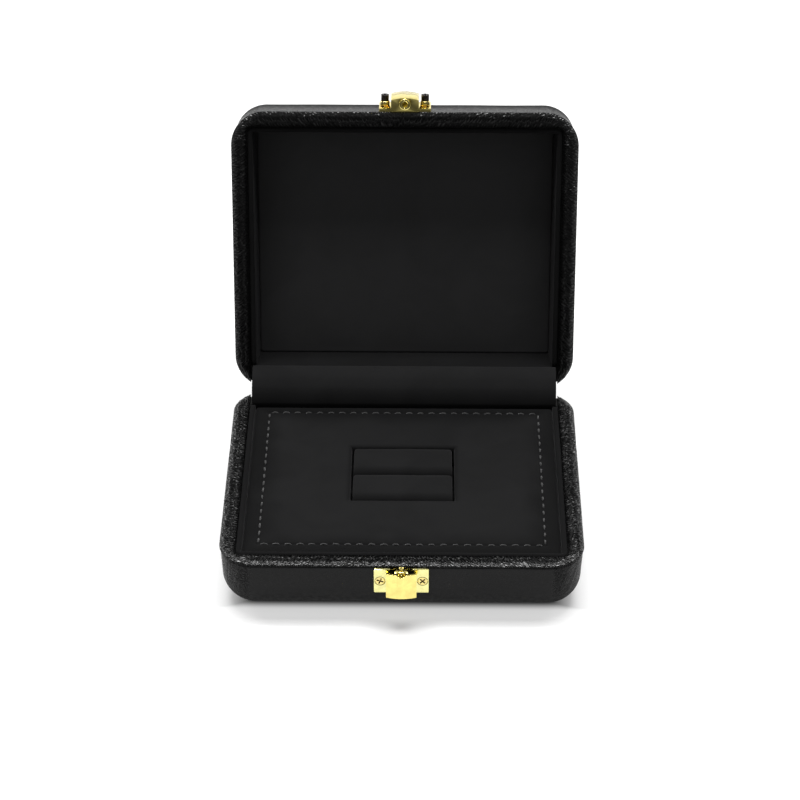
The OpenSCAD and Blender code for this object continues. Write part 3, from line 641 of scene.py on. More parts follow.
def band(zb, zt, seed):
    po, pi, s = BAND[:, 0:2], BAND[:, 2:4], BAND[:, 4]
    vec = pi - po
    w = np.linalg.norm(vec, axis=1)
    vec /= w[:, None]
    A = np.minimum(3.1, 0.55 * w)
    prof = []                                          # (distance in from the outer edge, height)
    prof.append((1.0 + 0 * w, zb + 0 * w))
    prof.append((0.42 + 0 * w, zb + 0 * w))
    for a in np.linspace(0, math.pi / 2, 6)[0:]:
        prof.append((0.32 - 0.30 * math.sin(a) + 0 * w, zb + 0.32 - 0.30 * math.cos(a) + 0 * w))
    for a in np.linspace(0, math.pi / 2, 21)[1:]:
        prof.append((0.02 + A * (1 - math.cos(a)), zb + 0.34 + (zt - zb - 0.36) * math.sin(a)))
    for t in np.linspace(0, 1, 15)[1:]:
        prof.append((0.02 + A + (w - 0.62 - A - 0.02) * t, zt - 0.02 - 0.10 * t * t + 0 * w))
    for a in np.linspace(0, math.pi / 2, 9)[1:]:
        prof.append((w - 0.62 + 0.60 * math.sin(a), zt - 0.12 - 0.55 * (1 - math.cos(a))))
    prof.append((w - 0.02, zb + 0.3 + 0 * w))
    prof.append((w - 0.02, zb + 0 * w))
    d = np.stack([p[0] for p in prof], 1)
    z = np.stack([p[1] * np.ones_like(w) for p in prof], 1)
    run = np.concatenate([np.zeros((len(w), 1)), np.cumsum(np.hypot(np.diff(d, axis=1), np.diff(z, axis=1)), axis=1)], 1)
    body = smooth(zb + 0.15, zb + 0.6, z)
    bumps = waves(np.broadcast_to(s[:, None], d.shape), d * 2, seed, 9)
    z2 = z + 0.035 * bumps * body
    k = smooth(AX - 1, AX + 4, np.abs(po[:, 0:1])) * smooth(AY - 1, AY + 4, np.abs(po[:, 1:2]))
    z2 += 0.035 * np.sin(s[:, None] * math.tau / 1.9 + 1.5 * np.sin(s[:, None])) * k * body
    # embossed grain: long pebbles that lean away from the middle of the front and fan out round the corners
    side = np.tanh((s - (s[0] + s[-1]) / 2) / 16)[:, None]
    lean = s[:, None] + side * 0.55 * run + 0.5 * waves(np.broadcast_to(s[:, None], d.shape), run, seed + 1, 13)
    grain, tip = pebbles(lean, run + 0.4 * waves(np.broadcast_to(s[:, None], d.shape), run, seed + 2, 7), 1.2, 2.7, seed, 0.62)
    dd, dz = np.gradient(d, axis=1), np.gradient(z, axis=1)
    ln = np.maximum(np.hypot(dd, dz), 1e-6)
    sink = (0.07 + 0.27 * (1 - grain) - tip) * body * smooth(0.0, 0.5, w[:, None] - d)
    z2 = z2 - sink * dd / ln
    d = d + sink * dz / ln
    z2 = np.minimum(z2, zt)
    P = np.stack([po[:, 0:1] + vec[:, 0:1] * d, po[:, 1:2] + vec[:, 1:2] * d, z2], -1)
    UV = np.stack([np.broadcast_to(s[:, None], d.shape), run], -1)
    wear = smooth(3.2, 0.6, d) * smooth(zb + 0.2, zb + 0.8, z)
    sk = Skin()
    # the section is closed on itself
    P = np.concatenate([P, P[:, :1]], 1)
    UV = np.concatenate([UV, UV[:, -1:] + [0, 4.0]], 1)
    # crease depth of the grain: it sets the rim's roughness and is also painted shade, darkening the colour in the
    # creases
    pit = (1 - grain) * body
    seam = smooth(1.7, 0.5, w[:, None] - d)
    sk.grid(P, UV, wear=np.concatenate([wear, wear[:, :1]], 1), pit=np.concatenate([pit, pit[:, :1]], 1),
            seam=np.concatenate([seam, seam[:, :1]], 1))
    for i in (0, -1):
        sk.poly(P[i, :-1], np.stack([P[i, :-1, 1], P[i, :-1, 2]], 1))
    return sk


base_rim = band(23.2, 24.5, 21).build("base_rim", M_RIM, "base", slot="rim_leather", replaces=("base_rim_trim",))
lid_rim = band(18.7, 20.0, 37).build("lid_rim", M_RIM, "lid", pose=lid, slot="rim_leather", replaces=("lid_rim_trim",))


# ---------------------------------------------------------------- lining walls
def rect_path(x1, y0, y1, r, step=0.8, narc=12):
    """Stations round the recess: corner centre or side point, outward direction, run length. r is the corner radius."""
    rows, s = [], 0.0
    cs = [(x1 - r, y1 - r, 90), (x1 - r, y0 + r, 0), (-x1 + r, y0 + r, -90), (-x1 + r, y1 - r, -180)]
    for i, (cx, cy, a) in enumerate(cs):
        px, py, _ = cs[i - 1]
        ex, ey = math.cos(math.radians(a)), math.sin(math.radians(a))
        length = math.hypot(cx - px, cy - py)
        n = int(length / step)
        for j in range(n):
            t = j / n
            rows.append((px + (cx - px) * t, py + (cy - py) * t, ex, ey, s + length * t))
        s += length
        for j in range(narc):
            b = math.radians(a - 90 * j / narc)
            rows.append((cx, cy, math.cos(b), math.sin(b), s + r * math.pi / 2 * j / narc))
        s += r * math.pi / 2
    return np.array(rows), s


def lining(z0, z1, lean, seed):
    rows, total = rect_path(CX, CF, CB, CVR)
    t = 2.0
    prof = [(0.0, z0), (0.0, z0 + (z1 - z0) * 0.5), (0.0, z1 - 1.0)]
    for a in np.linspace(0, math.pi, 15):
        prof.append((t / 2 * (1 - math.cos(a)), z1 - 0.62 + 0.62 * math.sin(a) ** 0.7))
    n = 22
    for i in range(1, n + 1):
        q = i / n
        prof.append((t + lean * q + 0.0, z1 - 0.62 - (z1 - 0.62 - z0) * q))
    prof = np.array(prof)
    d, z = prof[:, 0], prof[:, 1]
    run = np.concatenate([[0], np.cumsum(np.hypot(*np.diff(prof, axis=0).T))])
    D = np.broadcast_to(d, (len(rows), len(d))).copy()
    Z = np.broadcast_to(z, D.shape).copy()
    S = np.broadcast_to(rows[:, 4:5], D.shape)
    free = (np.arange(len(d)) > 4)
    D += 0.05 * waves(S, Z * 2, seed, 17) * free * smooth(z0, z0 + 3, Z)
    Z += 0.05 * waves(S, Z * 0, seed + 3, 21) * smooth(z1 - 1.2, z1 - 0.3, Z)
    R = CVR - D
    # the rear top edge lies lower, under the hinge flap
    Z -= 0.62 * smooth(45.0, 46.3, rows[:, 1:2] + rows[:, 3:4] * R) * smooth(z1 - 4.0, z1 - 1.0, Z)
    P = np.stack([rows[:, 0:1] + rows[:, 2:3] * R, rows[:, 1:2] + rows[:, 3:4] * R, Z], -1)
    UV = np.stack([S, np.broadcast_to(run, D.shape)], -1)
    UV = np.concatenate([UV, UV[:1] + [total, 0]])
    P = np.concatenate([P, P[:, :1]], 1)
    UV = np.concatenate([UV, UV[:, -1:] + [0, 2.0]], 1)
    return Skin().grid(P, UV, closed=True)


base_collar = lining(FLOOR_Z, BASE_H - 0.4, 0.0, 41).build(
    "base_collar", M_WALL, "base", slot="wall_suede", replaces=("base_liner",))
lid_collar = lining(LID_FLOOR, LID_H - 0.7, 0.9, 47).build(
    "lid_collar", M_WALL_LID, "lid", pose=lid, slot="wall_suede", replaces=("lid_liner",))


# ---------------------------------------------------------------- lid panel
def lines(a, b, step, fine=(), fine_step=0.2, reach=2.2):
    pts = list(np.linspace(a, b, int(round((b - a) / step)) + 1))
    for f in fine:
        pts = [p for p in pts if abs(p - f) > reach]
        pts += [f + q for q in np.arange(-reach, reach + 1e-6, fine_step) if a <= f + q <= b]
    pts += [a, b, *[f for f in fine if a <= f <= b]]
    pts = sorted(set(round(p, 4) for p in pts))
    out = [pts[0]]
    for p in pts[1:]:
        if p - out[-1] > fine_step * 0.45:
            out.append(p)
        elif p in (b, *fine):
            out[-1] = p
    return np.array(out)


def panel(x1, y0, y1, z0, z1, r, seed):
    xs = lines(-x1, x1, 1.2, (-x1, x1), 0.15, 1.8)
    ys = lines(y0, y1, 1.2, (y0, y1), 0.15, 1.8)
    X, Y = np.meshgrid(xs, ys, indexing="ij")
    d = -sd_rrect(X, Y, x1, y0, y1, 1.4)
    # corner points slide in onto the rounded outline
    cx, cy = np.clip(X, -x1 + 1.4, x1 - 1.4), np.clip(Y, y0 + 1.4, y1 - 1.4)
    far = np.hypot(X - cx, Y - cy)
    pull = np.where(d < 0, 1.4 / np.maximum(far, 1e-6), 1.0)
    X2, Y2 = cx + (X - cx) * pull, cy + (Y - cy) * pull
    d = np.maximum(d, 0)
    e = np.clip(d, 0, r)
    z = z1 - (r - np.sqrt(np.maximum(r * r - (r - e) ** 2, 0)))
    yc = (y0 + y1) / 2
    crown = (1 - (X / x1) ** 2) * (1 - ((Y - yc) / (y1 - yc)) ** 2)
    z = z + 0.35 * crown ** 0.6 - 0.15 + 0.05 * waves(X, Y, seed, 34) * smooth(0, 4, d)
    P = np.stack([X2, Y2, z], -1)
    sk = Skin().grid(P, np.stack([X, Y], -1))
    ring = np.concatenate([P[:, 0], P[-1, 1:], P[-2::-1, -1], P[0, -2:0:-1]])
    rz = np.stack([ring, ring * [1, 1, 0] + [0, 0, z0]], 1)
    sl = np.concatenate([[0], np.cumsum(np.linalg.norm(np.diff(ring, axis=0), axis=1))])
    UV = np.stack([np.stack([sl, 0 * sl], -1), np.stack([sl, 0 * sl + 1.5], -1)], 1)
    UV = np.concatenate([UV, UV[-1:] + [0.1, 0]])
    sk.grid(rz, UV, closed=True)
    sk.poly(rz[:, 1], rz[:, 1])
    return sk


lid_panel = panel(57.15, -46.9, 45.9, LID_FLOOR, LID_FLOOR + 1.3, 1.0, 53).build(
    "lid_panel", M_PANEL, "lid", pose=lid, slot="panel_suede", replaces=("lid_panel_cover",))


# ---------------------------------------------------------------- the pad, with its cut-out and stitched border
def pad():
    x1, y0, y1 = 57.6, -47.35, 46.35
    xs = lines(-x1, x1, 0.8, (-x1, x1, -SLOT_X, SLOT_X, -STX, STX), 0.2, 1.8)
    ys = lines(y0, y1, 0.8, (y0, y1, SLOT_Y0, SLOT_Y1, STF, STB), 0.2, 1.8)
    X, Y = np.meshgrid(xs, ys, indexing="ij")
    d = -sd_rrect(X, Y, x1, y0, y1, 1.2)
    cx, cy = np.clip(X, -x1 + 1.2, x1 - 1.2), np.clip(Y, y0 + 1.2, y1 - 1.2)
    far = np.hypot(X - cx, Y - cy)
    pull = np.where(d < 0, 1.2 / np.maximum(far, 1e-6), 1.0)
    X2, Y2 = cx + (X - cx) * pull, cy + (Y - cy) * pull
    d = np.maximum(d, 0)
    r = 1.1
    e = np.clip(d, 0, r)
    z = PAD_Z - (r - np.sqrt(np.maximum(r * r - (r - e) ** 2, 0))) * 0.9
    # dip into the cut-out, deepest at its middle
    qx, qy = np.abs(X) - SLOT_X, np.abs(Y - (SLOT_Y0 + SLOT_Y1) / 2) - (SLOT_Y1 - SLOT_Y0) / 2
    ds = np.hypot(np.maximum(qx, 0), np.maximum(qy, 0))
    rr = 1.5
    es = np.clip(ds, 0, rr)
    z -= 0.62 * (1 - np.sqrt(np.maximum(1 - ((rr - es) / rr) ** 2, 0))) + 0.24 * np.exp(-(ds / 3.4) ** 2)
    # stitched border: a shallow channel that is pulled down at each needle hole
    wx, wy = X, Y
    side = np.abs(np.abs(wx) - STX)
    top = np.minimum(np.abs(wy - STF), np.abs(wy - STB))
    inx = (wy > STF - 0.8) & (wy < STB + 0.8)
    iny = (np.abs(wx) < STX + 0.8)
    g1 = np.where(inx, side, 9.0)
    g2 = np.where(iny, top, 9.0)
    n_x = int(2 * STX // STP)
    n_y = int((STB - STF) // STP)
    px, py = 2 * STX / n_x, (STB - STF) / n_y
    pull1 = 0.5 + 0.5 * np.cos((wy - STF) / py * math.tau)
    pull2 = 0.5 + 0.5 * np.cos((wx + STX) / px * math.tau)
    chan = lambda g, p: (0.10 + 0.13 * p) * np.exp(-(g / 0.5) ** 2) + (0.03 + 0.05 * p) * np.exp(-(g / 1.5) ** 2)
    z -= np.maximum(chan(g1, pull1), chan(g2, pull2))
    flat = smooth(0, 5, d) * smooth(0, 3, ds)
    z += (0.07 * waves(X, Y, 61, 26) + 0.03 * waves(X, Y, 67, 9)) * flat
    keep = (d > 1.0) & (d < 4.5)
    z += 0.05 * keep * smooth(1.0, 2.4, d) * smooth(4.6, 3.2, d)
    P = np.stack([X2, Y2, z], -1)
    UV = np.stack([X, Y], -1)
    zi = 20.6
    Q = np.stack([X2 * (56.9 / 57.6), (Y2 + 0.5) * (46.15 / 46.85) - 0.5, np.full_like(z, zi)], -1)
    sk = Skin()
    i0, i1 = np.searchsorted(xs, -SLOT_X - 1e-3), np.searchsorted(xs, SLOT_X - 1e-3)
    j0, j1 = np.searchsorted(ys, SLOT_Y0 - 1e-3), np.searchsorted(ys, SLOT_Y1 - 1e-3)
    # painted shade: darker towards the pad's outer border, where the lining walls rise, and round the cut-out
    border_shade = np.clip(smooth(14.0, 2.0, d + 1.5 * waves(X, Y, 71, 19)) + 0.5 * smooth(2.2, 0.4, ds), 0, 1)
    for G in (P, Q):
        sk.grid(G[:, :j0 + 1], UV[:, :j0 + 1], edge=border_shade[:, :j0 + 1])
        sk.grid(G[:, j1:], UV[:, j1:], edge=border_shade[:, j1:])
        sk.grid(G[:i0 + 1, j0:j1 + 1], UV[:i0 + 1, j0:j1 + 1], edge=border_shade[:i0 + 1, j0:j1 + 1])
        sk.grid(G[i1:, j0:j1 + 1], UV[i1:, j0:j1 + 1], edge=border_shade[i1:, j0:j1 + 1])

    def loop(G, a, b, c, e):
        return np.concatenate([G[a:b, c], G[b, c:e], G[b:a:-1, e], G[a, e:c:-1]])

    na, nb = len(xs) - 1, len(ys) - 1
    o1, o2 = loop(P, 0, na, 0, nb), loop(Q, 0, na, 0, nb)
    rings = np.stack([o1, o1 * [1, 1, 0] + [0, 0, 16.0], o1 * [1, 1, 0] + [0, 0, 10.0], o2 * [1, 1, 0] + [0, 0, 10.0], o2], 1)
    sl = np.concatenate([[0], np.cumsum(np.linalg.norm(np.diff(o1, axis=0), axis=1))])
    ruv = np.stack([np.stack([sl, 0 * sl + v], -1) for v in (0, 6, 12, 13, 24)], 1)
    sk.grid(rings, np.concatenate([ruv, ruv[-1:] + [0.5, 0]]), closed=True)
    h1, h2 = loop(P, i0, i1, j0, j1), loop(Q, i0, i1, j0, j1)
    h2 = h2.copy()
    rings = np.stack([h1, h2], 1)
    sl = np.concatenate([[0], np.cumsum(np.linalg.norm(np.diff(h1, axis=0), axis=1))])
    ruv = np.stack([np.stack([sl, 0 * sl + v], -1) for v in (0, 1.6)], 1)
    sk.grid(rings, np.concatenate([ruv, ruv[-1:] + [0.5, 0]]), closed=True)
    return sk, (px, py, n_x, n_y)


sk, (SPX, SPY, NSX, NSY) = pad()
insert_pad = sk.build("insert_pad", M_PAD, "base", slot="pad_suede", replaces=("insert_cover", "insert_foam"))


# ---------------------------------------------------------------- running stitch
def stitches():
    sk = Skin()
    r = np.random.default_rng(5)
    spots = []
    for i in range(NSX):
        for y in (STF, STB):
            spots.append((-STX + (i + 0.5) * SPX, y, 0.0))
    for i in range(NSY):
        for x in (-STX, STX):
            spots.append((x, STF + (i + 0.5) * SPY, math.pi / 2))
    ts = np.linspace(0, 1, 13)
    ang = np.linspace(0, math.tau, 13)[:-1]
    for x, y, a in spots:
        a += r.uniform(-0.09, 0.09)
        half = 1.22 + r.uniform(-0.1, 0.1)
        rad = 0.31 + r.uniform(-0.02, 0.02)
        along = -half + 2 * half * ts
        zc = PAD_Z - 0.14 + 0.20 * np.sin(math.pi * ts) ** 0.7 - 0.25 * (1 - np.sin(math.pi * ts)) ** 3
        rr = rad * (0.30 + 0.70 * np.sin(math.pi * np.clip(ts, 0.02, 0.98)) ** 0.35)
        bow = r.uniform(-0.05, 0.05) * np.sin(math.pi * ts)
        ply = 1 + 0.10 * np.cos(2 * (ang[None, :] + along[:, None] * 4.2))
        rx = rr[:, None] * ply
        dx, dy = math.cos(a), math.sin(a)
        off = bow[:, None] + rx * np.cos(ang)
        P = np.stack([x + dx * along[:, None] - dy * off, y + dy * along[:, None] + dx * off,
                      zc[:, None] + rx * np.sin(ang) * 0.85], -1)
        P = P.transpose(1, 0, 2)
        UV = np.stack([np.broadcast_to(along, (13, 13)), np.broadcast_to((np.arange(13) / 12 * 2.0)[:, None], (13, 13))], -1)
        sk.grid(P, UV, closed=True)
        for k in (0, -1):
            sk.poly(P[:, k], P[:, k])
    return sk


border_stitches = stitches().build("border_stitches", M_STITCH, "base", merge=1e-7, sharp=80, slot="stitch_thread",
                                   replaces=("insert_stitching",))


# ---------------------------------------------------------------- slot well and the two ring rolls
def well():
    sk = Skin()
    cy, ly = (SLOT_Y0 + SLOT_Y1) / 2, (SLOT_Y1 - SLOT_Y0) / 2
    zt, zb = 20.55, 13.0

    def ringp(i, z):
        x1, h, r = SLOT_X + i, ly + i, 1.4 + i
        pts = []
        for sx, sy, a0 in ((1, 1, 90), (1, -1, 0), (-1, -1, -90), (-1, 1, -180)):
            for k in range(9):
                a = math.radians(a0 - 90 * k / 8)
                pts.append((sx * (x1 - r) + r * math.cos(a), cy + sy * (h - r) + r * math.sin(a), z))
        return np.array(pts)

    stack = [ringp(0.0, zb + 1.0), ringp(0.0, zt - 0.2), ringp(0.15, zt), ringp(0.45, zt), ringp(0.6, zt - 0.2),
             ringp(0.6, zb)]
    P = np.stack(stack, 1)
    sl = np.linspace(0, 150, len(P) + 1)
    UV = np.stack([np.stack([sl, 0 * sl + v], -1) for v in (0, 6, 6.3, 6.6, 6.9, 14)], 1)
    sk.grid(P, UV, closed=True)
    sk.poly(P[:, 0], P[:, 0])
    sk.poly(P[:, -1], P[:, -1])
    return sk


slot_lining = well().build("slot_lining", M_ROLL, "base", slot="roll_suede", replaces=("slot_well",))


def roll(y0, y1, front, seed):
    """A padded roll: a foam strip in suede, full at the middle and pinched in at its two ends."""
    xh = SLOT_X - 1.05
    zb, zt = 14.1, ROLL_Z
    xs = lines(-xh, xh, 0.7, (-xh, xh), 0.12, 1.6)
    r = 3.4
    sec = []
    for a in np.linspace(0, math.pi / 2, 15):
        sec.append((-1, y0 + r - r * math.cos(a), zt - r + r * math.sin(a)))
    for t in np.linspace(0, 1, 16)[1:-1]:
        sec.append((0, y0 + r + (y1 - y0 - 2 * r) * t, zt))
    for a in np.linspace(math.pi / 2, 0, 15):
        sec.append((1, y1 - r + r * math.cos(a), zt - r + r * math.sin(a)))
    sec = sec + [(1, y1, 18.0), (1, y1 - 0.3, zb), (0, (y0 + y1) / 2, zb), (-1, y0 + 0.3, zb), (-1, y0, 18.0)]
    sec = np.array(sec)
    yc = (y0 + y1) / 2
    X = np.broadcast_to(xs[:, None], (len(xs), len(sec))).copy()
    Yv = np.broadcast_to(sec[:, 1], X.shape).copy()
    Zv = np.broadcast_to(sec[:, 2], X.shape).copy()
    e = np.clip((xh - np.abs(xs)) / 1.3, 0, 1)
    inset = 1.0 * (1 - np.sqrt(np.maximum(1 - (1 - e) ** 2, 0)))
    sink = (zt - zb) / 2
    Yv = yc + (Yv - yc) * (1 - inset[:, None] * 0.9 / ((y1 - y0) / 2))
    Zv = (zt + zb) / 2 + (Zv - (zt + zb) / 2) * (1 - inset[:, None] * 1.0 / sink)
    top = smooth(zt - 3.5, zt, Zv)
    Zv += top * (0.16 * (1 - ((Yv - yc) / ((y1 - y0) / 2)) ** 2) - 0.10 * (np.abs(X) / xh) ** 4)
    Zv += top * 0.06 * waves(X, Yv, seed, 13)
    P = np.stack([X, Yv, Zv], -1)
    run = np.concatenate([[0], np.cumsum(np.hypot(*np.diff(sec[:, 1:], axis=0).T))])
    UV = np.stack([X, np.broadcast_to(run, X.shape)], -1)
    P = np.concatenate([P, P[:, :1]], 1)
    UV = np.concatenate([UV, UV[:, -1:] + [0, 4.0]], 1)
    sk = Skin().grid(P, UV)
    for k in (0, -1):
        ring = P[k, :-1]
        c = np.array([ring[0, 0], yc, (zt + zb) / 2])
        inner = [ring + (c - ring) * q for q in (0.0, 0.12, 0.4)]
        inner = np.stack(inner, 1)
        u2 = np.stack([inner[..., 1], inner[..., 2]], -1)
        sk.grid(inner, np.concatenate([u2, u2[:1]]), closed=True)
        sk.poly(inner[:, -1], inner[:, -1, 1:])
    return sk


roll_front = roll(SLOT_Y0 + 0.22, 2.93, True, 71).build(
    "roll_front", M_ROLL, "base", slot="roll_suede", replaces=("ring_roll_front",), sharp=60)
roll_rear = roll(3.07, SLOT_Y1 - 0.22, False, 73).build(
    "roll_rear", M_ROLL, "base", slot="roll_suede", replaces=("ring_roll_rear",), sharp=60)


# ---------------------------------------------------------------- strips across the hinge
def spline(pts, n):
    """Centripetal-like smooth line through points, n samples by length."""
    p = np.array(pts, float)
    t = np.concatenate([[0], np.cumsum(np.linalg.norm(np.diff(p, axis=0), axis=1))])
    m = np.zeros_like(p)
    h = np.diff(t)[:, None]
    sl = np.diff(p, axis=0) / h
    m[1:-1] = (sl[:-1] * h[1:] + sl[1:] * h[:-1]) / (h[1:] + h[:-1])
    m[0], m[-1] = sl[0], sl[-1]
    q = np.linspace(0, t[-1], n)
    i = np.clip(np.searchsorted(t, q, side="right") - 1, 0, len(t) - 2)
    hh = (t[i + 1] - t[i])[:, None]
    s = ((q - t[i]))[:, None] / hh
    return ((2 * s**3 - 3 * s**2 + 1) * p[i] + (s**3 - 2 * s**2 + s) * hh * m[i]
            + (-2 * s**3 + 3 * s**2) * p[i + 1] + (s**3 - s**2) * hh * m[i + 1])


def other_side(p):
    """Mirror of a point (y, z) of the base side on the lid side, with the lid open."""
    y, z = p[..., 0] - HD, -(p[..., 1] - AXIS_Z)
    c, s = math.cos(-OPEN), math.sin(-OPEN)
    return np.stack([HD + y * c - z * s, AXIS_Z + y * s + z * c], -1)


def strip(sections, xs, thick, uv_scale=1.0, edge_r=None):
    """A closed thin sheet from centre-line sections (one (n,2) line per x)."""
    S = np.array(sections)                                   # (nx, n, 2)
    tan = np.gradient(S, axis=1)
    tan /= np.linalg.norm(tan, axis=2, keepdims=True)
    nor = np.stack([-tan[..., 1], tan[..., 0]], -1)
    n = S.shape[1]
    t = np.ones(n)
    k = 3
    for i in range(k):
        f = math.sqrt(1 - (1 - (i + 0.35) / k) ** 2)
        t[i] = f
        t[-1 - i] = f
    half = thick / 2 * t[None, :, None]
    A, B = S + nor * half, S - nor * half
    run = np.concatenate([np.zeros((len(xs), 1)), np.cumsum(np.linalg.norm(np.diff(S, axis=1), axis=2), axis=1)], 1)
    X = np.broadcast_to(np.array(xs)[:, None], run.shape)
    sk = Skin()
    PA = np.concatenate([X[..., None], A], -1)
    PB = np.concatenate([X[..., None], B], -1)
    loop = np.concatenate([PA, PB[:, ::-1], PA[:, :1]], 1)
    ua = np.stack([X, run], -1)
    uv = np.concatenate([ua, ua[:, ::-1] + [0, 0.0], ua[:, :1]], 1)
    sk.grid(loop, uv)
    for i in (0, -1):
        sk.poly(loop[i, :-1], np.stack([loop[i, :-1, 1], loop[i, :-1, 2]], 1))
    return sk, float(run[len(xs) // 2, -1])


def axis_pt(r, deg):
    return (HD + r * math.cos(math.radians(deg)), AXIS_Z + r * math.sin(math.radians(deg)))


BIS = 90 + (180 - 103.3 - 90) / 2 + 45     # direction of the opening's middle plane, 128.35 degrees
half_line = np.array([(46.70, 23.30), (46.78, 24.2), (47.0, 25.3), (47.45, 26.9), (48.1, 28.5), (48.95, 29.9), (49.75, 30.75)])
mid = np.array([[50.45, 31.35]])
centre = np.concatenate([half_line, mid, other_side(half_line)[::-1]])
xs = lines(-59.15, 59.15, 1.0, (-59.15, 59.15), 0.25, 0.8)
secs = []
for x in xs:
    c = spline(centre, 64)
    tt = np.linspace(0, 1, 64)
    w = np.sin(math.pi * tt) ** 1.2
    nrm = np.gradient(c, axis=0)
    nrm /= np.linalg.norm(nrm, axis=1, keepdims=True)
    nrm = np.stack([-nrm[:, 1], nrm[:, 0]], -1)
    lift = 0.16 * waves(np.full(64, x), tt * 12, 81, 24) - 0.1
    secs.append(c + nrm * (lift * w)[:, None])
sk, flap_len = strip(secs, xs, 0.56)
hinge_flap = sk.build("hinge_flap", M_FLAP, None, sharp=70, slot="flap_suede", replaces=("flap_base", "flap_lid"))
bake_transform(hinge_flap)


def wall_y(x, z):
    """The rear wall's outer face at x and height z, round the corners too."""
    d = CR - CREASE - (BASE_H - z) * TAN
    ax = max(0.0, abs(x) - AX)
    return AY + math.sqrt(max(d * d - ax * ax, 0.0))


xs = lines(-59.6, 59.6, 1.0, (-59.6, 59.6), 0.25, 1.0)
secs = []
for x in xs:
    low = [(wall_y(x, z) + 0.40, z) for z in (14.5, 16.5, 18.5, 20.3)]
    half = np.array(low + [(max(wall_y(x, 21.6) + 0.5, 55.95), 21.6), (56.45, 22.35), axis_pt(2.25, -62)])
    c = np.concatenate([half, [axis_pt(2.35, BIS - 180)], other_side(half)[::-1]])
    secs.append(spline(c, 72))
sk, spine_len = strip(secs, xs, 0.62)
hinge_spine = sk.build("hinge_spine", M_SPINE, None, sharp=70, slot="spine_leather", replaces=("spine_base", "spine_lid"))
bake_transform(hinge_spine)


# ---------------------------------------------------------------- foot sheet
def foot():
    x1, y1 = 52.6, 42.4
    xs = lines(-x1, x1, 1.6, (-x1, x1), 0.2, 1.2)
    ys = lines(-y1, y1, 1.6, (-y1, y1), 0.2, 1.2)
    X, Y = np.meshgrid(xs, ys, indexing="ij")
    d = -sd_rrect(X, Y, x1, -y1, y1, 3.0)
    cx, cy = np.clip(X, -x1 + 3, x1 - 3), np.clip(Y, -y1 + 3, y1 - 3)
    far = np.hypot(X - cx, Y - cy)
    pull = np.where(d < 0, 3.0 / np.maximum(far, 1e-6), 1.0)
    X2, Y2 = cx + (X - cx) * pull, cy + (Y - cy) * pull
    e = np.clip(np.maximum(d, 0), 0, 0.35)
    zb = 0.35 - np.sqrt(np.maximum(0.35**2 - (0.35 - e) ** 2, 0))
    zb = zb + 0.015 * (1 + waves(X, Y, 91, 14))
    P = np.stack([X2, Y2, zb], -1)
    Q = np.stack([X2, Y2, np.full_like(zb, 0.8)], -1)
    sk = Skin().grid(P, np.stack([X, Y], -1)).grid(Q, np.stack([X, Y], -1))
    ring = lambda G: np.concatenate([G[:, 0], G[-1, 1:], G[-2::-1, -1], G[0, -2:0:-1]])
    R = np.stack([ring(P), ring(Q)], 1)
    sl = np.arange(len(R) + 1) * 1.0
    UV = np.stack([np.stack([sl, 0 * sl], -1), np.stack([sl, 0 * sl + 0.8], -1)], 1)
    return sk.grid(R, UV, closed=True)


foot_sheet = foot().build("foot_sheet", M_FELT, "base", slot="foot_felt", replaces=("base_foot_sheet",))


# ---------------------------------------------------------------- CAD pieces that keep their shape
def dress(node, mat, bevel=0.0, segments=2, flat=True):
    o = N[node]
    o.data.materials.clear()
    o.data.materials.append(mat)
    if bevel:
        w = o.modifiers.new("weld", "WELD")
        w.merge_threshold = 2e-6
        if not flat:
            c = o.modifiers.new("clean", "DECIMATE")
            c.decimate_type = "DISSOLVE"
            c.angle_limit = math.radians(0.6)
        b = o.modifiers.new("edges", "BEVEL")
        b.width = bevel * 0.001
        b.segments = segments
        b.limit_method = "ANGLE"
        b.angle_limit = math.radians(32)
        b.use_clamp_overlap = True
        b.harden_normals = flat
    o.data.polygons.foreach_set("use_smooth", np.ones(len(o.data.polygons), bool))
    o.data.set_sharp_from_angle(angle=math.radians(32))


dress("base_core", M_WOOD)
dress("lid_core", M_WOOD_LID)
dress("lid_padding", M_CARD)
dress("insert_board", M_CARD)
dress("lid_panel_board", M_CARD)
dress("latch_plate", M_PLATE, 0.1, 2)
dress("latch_tongue", M_GOLD, 0.1, 2, False)
dress("strike_plate", M_GOLD, 0.16, 3)
dress("strike_keeper", M_GOLD, 0.08, 2)
dress("strike_collars", M_GOLD2, 0.18, 3)
dress("latch_stud", M_GOLD, 0.08, 2)
dress("latch_screws", M_GOLD2, 0.1, 2)
dress("strike_screws", M_BLACK, 0.12, 2)
dress("latch_pivot_pin", M_STEEL, 0.08, 2)
dress("latch_spring", M_BRONZE, 0.03, 1)
dress("hinge_pin", M_STEEL, 0.1, 2)
dress("hinge_leaf_base", M_STEEL, 0.1, 2)
dress("hinge_leaf_lid", M_STEEL, 0.1, 2)
dress("hinge_rivets_base", M_BRASS, 0.1, 2)
dress("hinge_rivets_lid", M_BRASS, 0.1, 2)

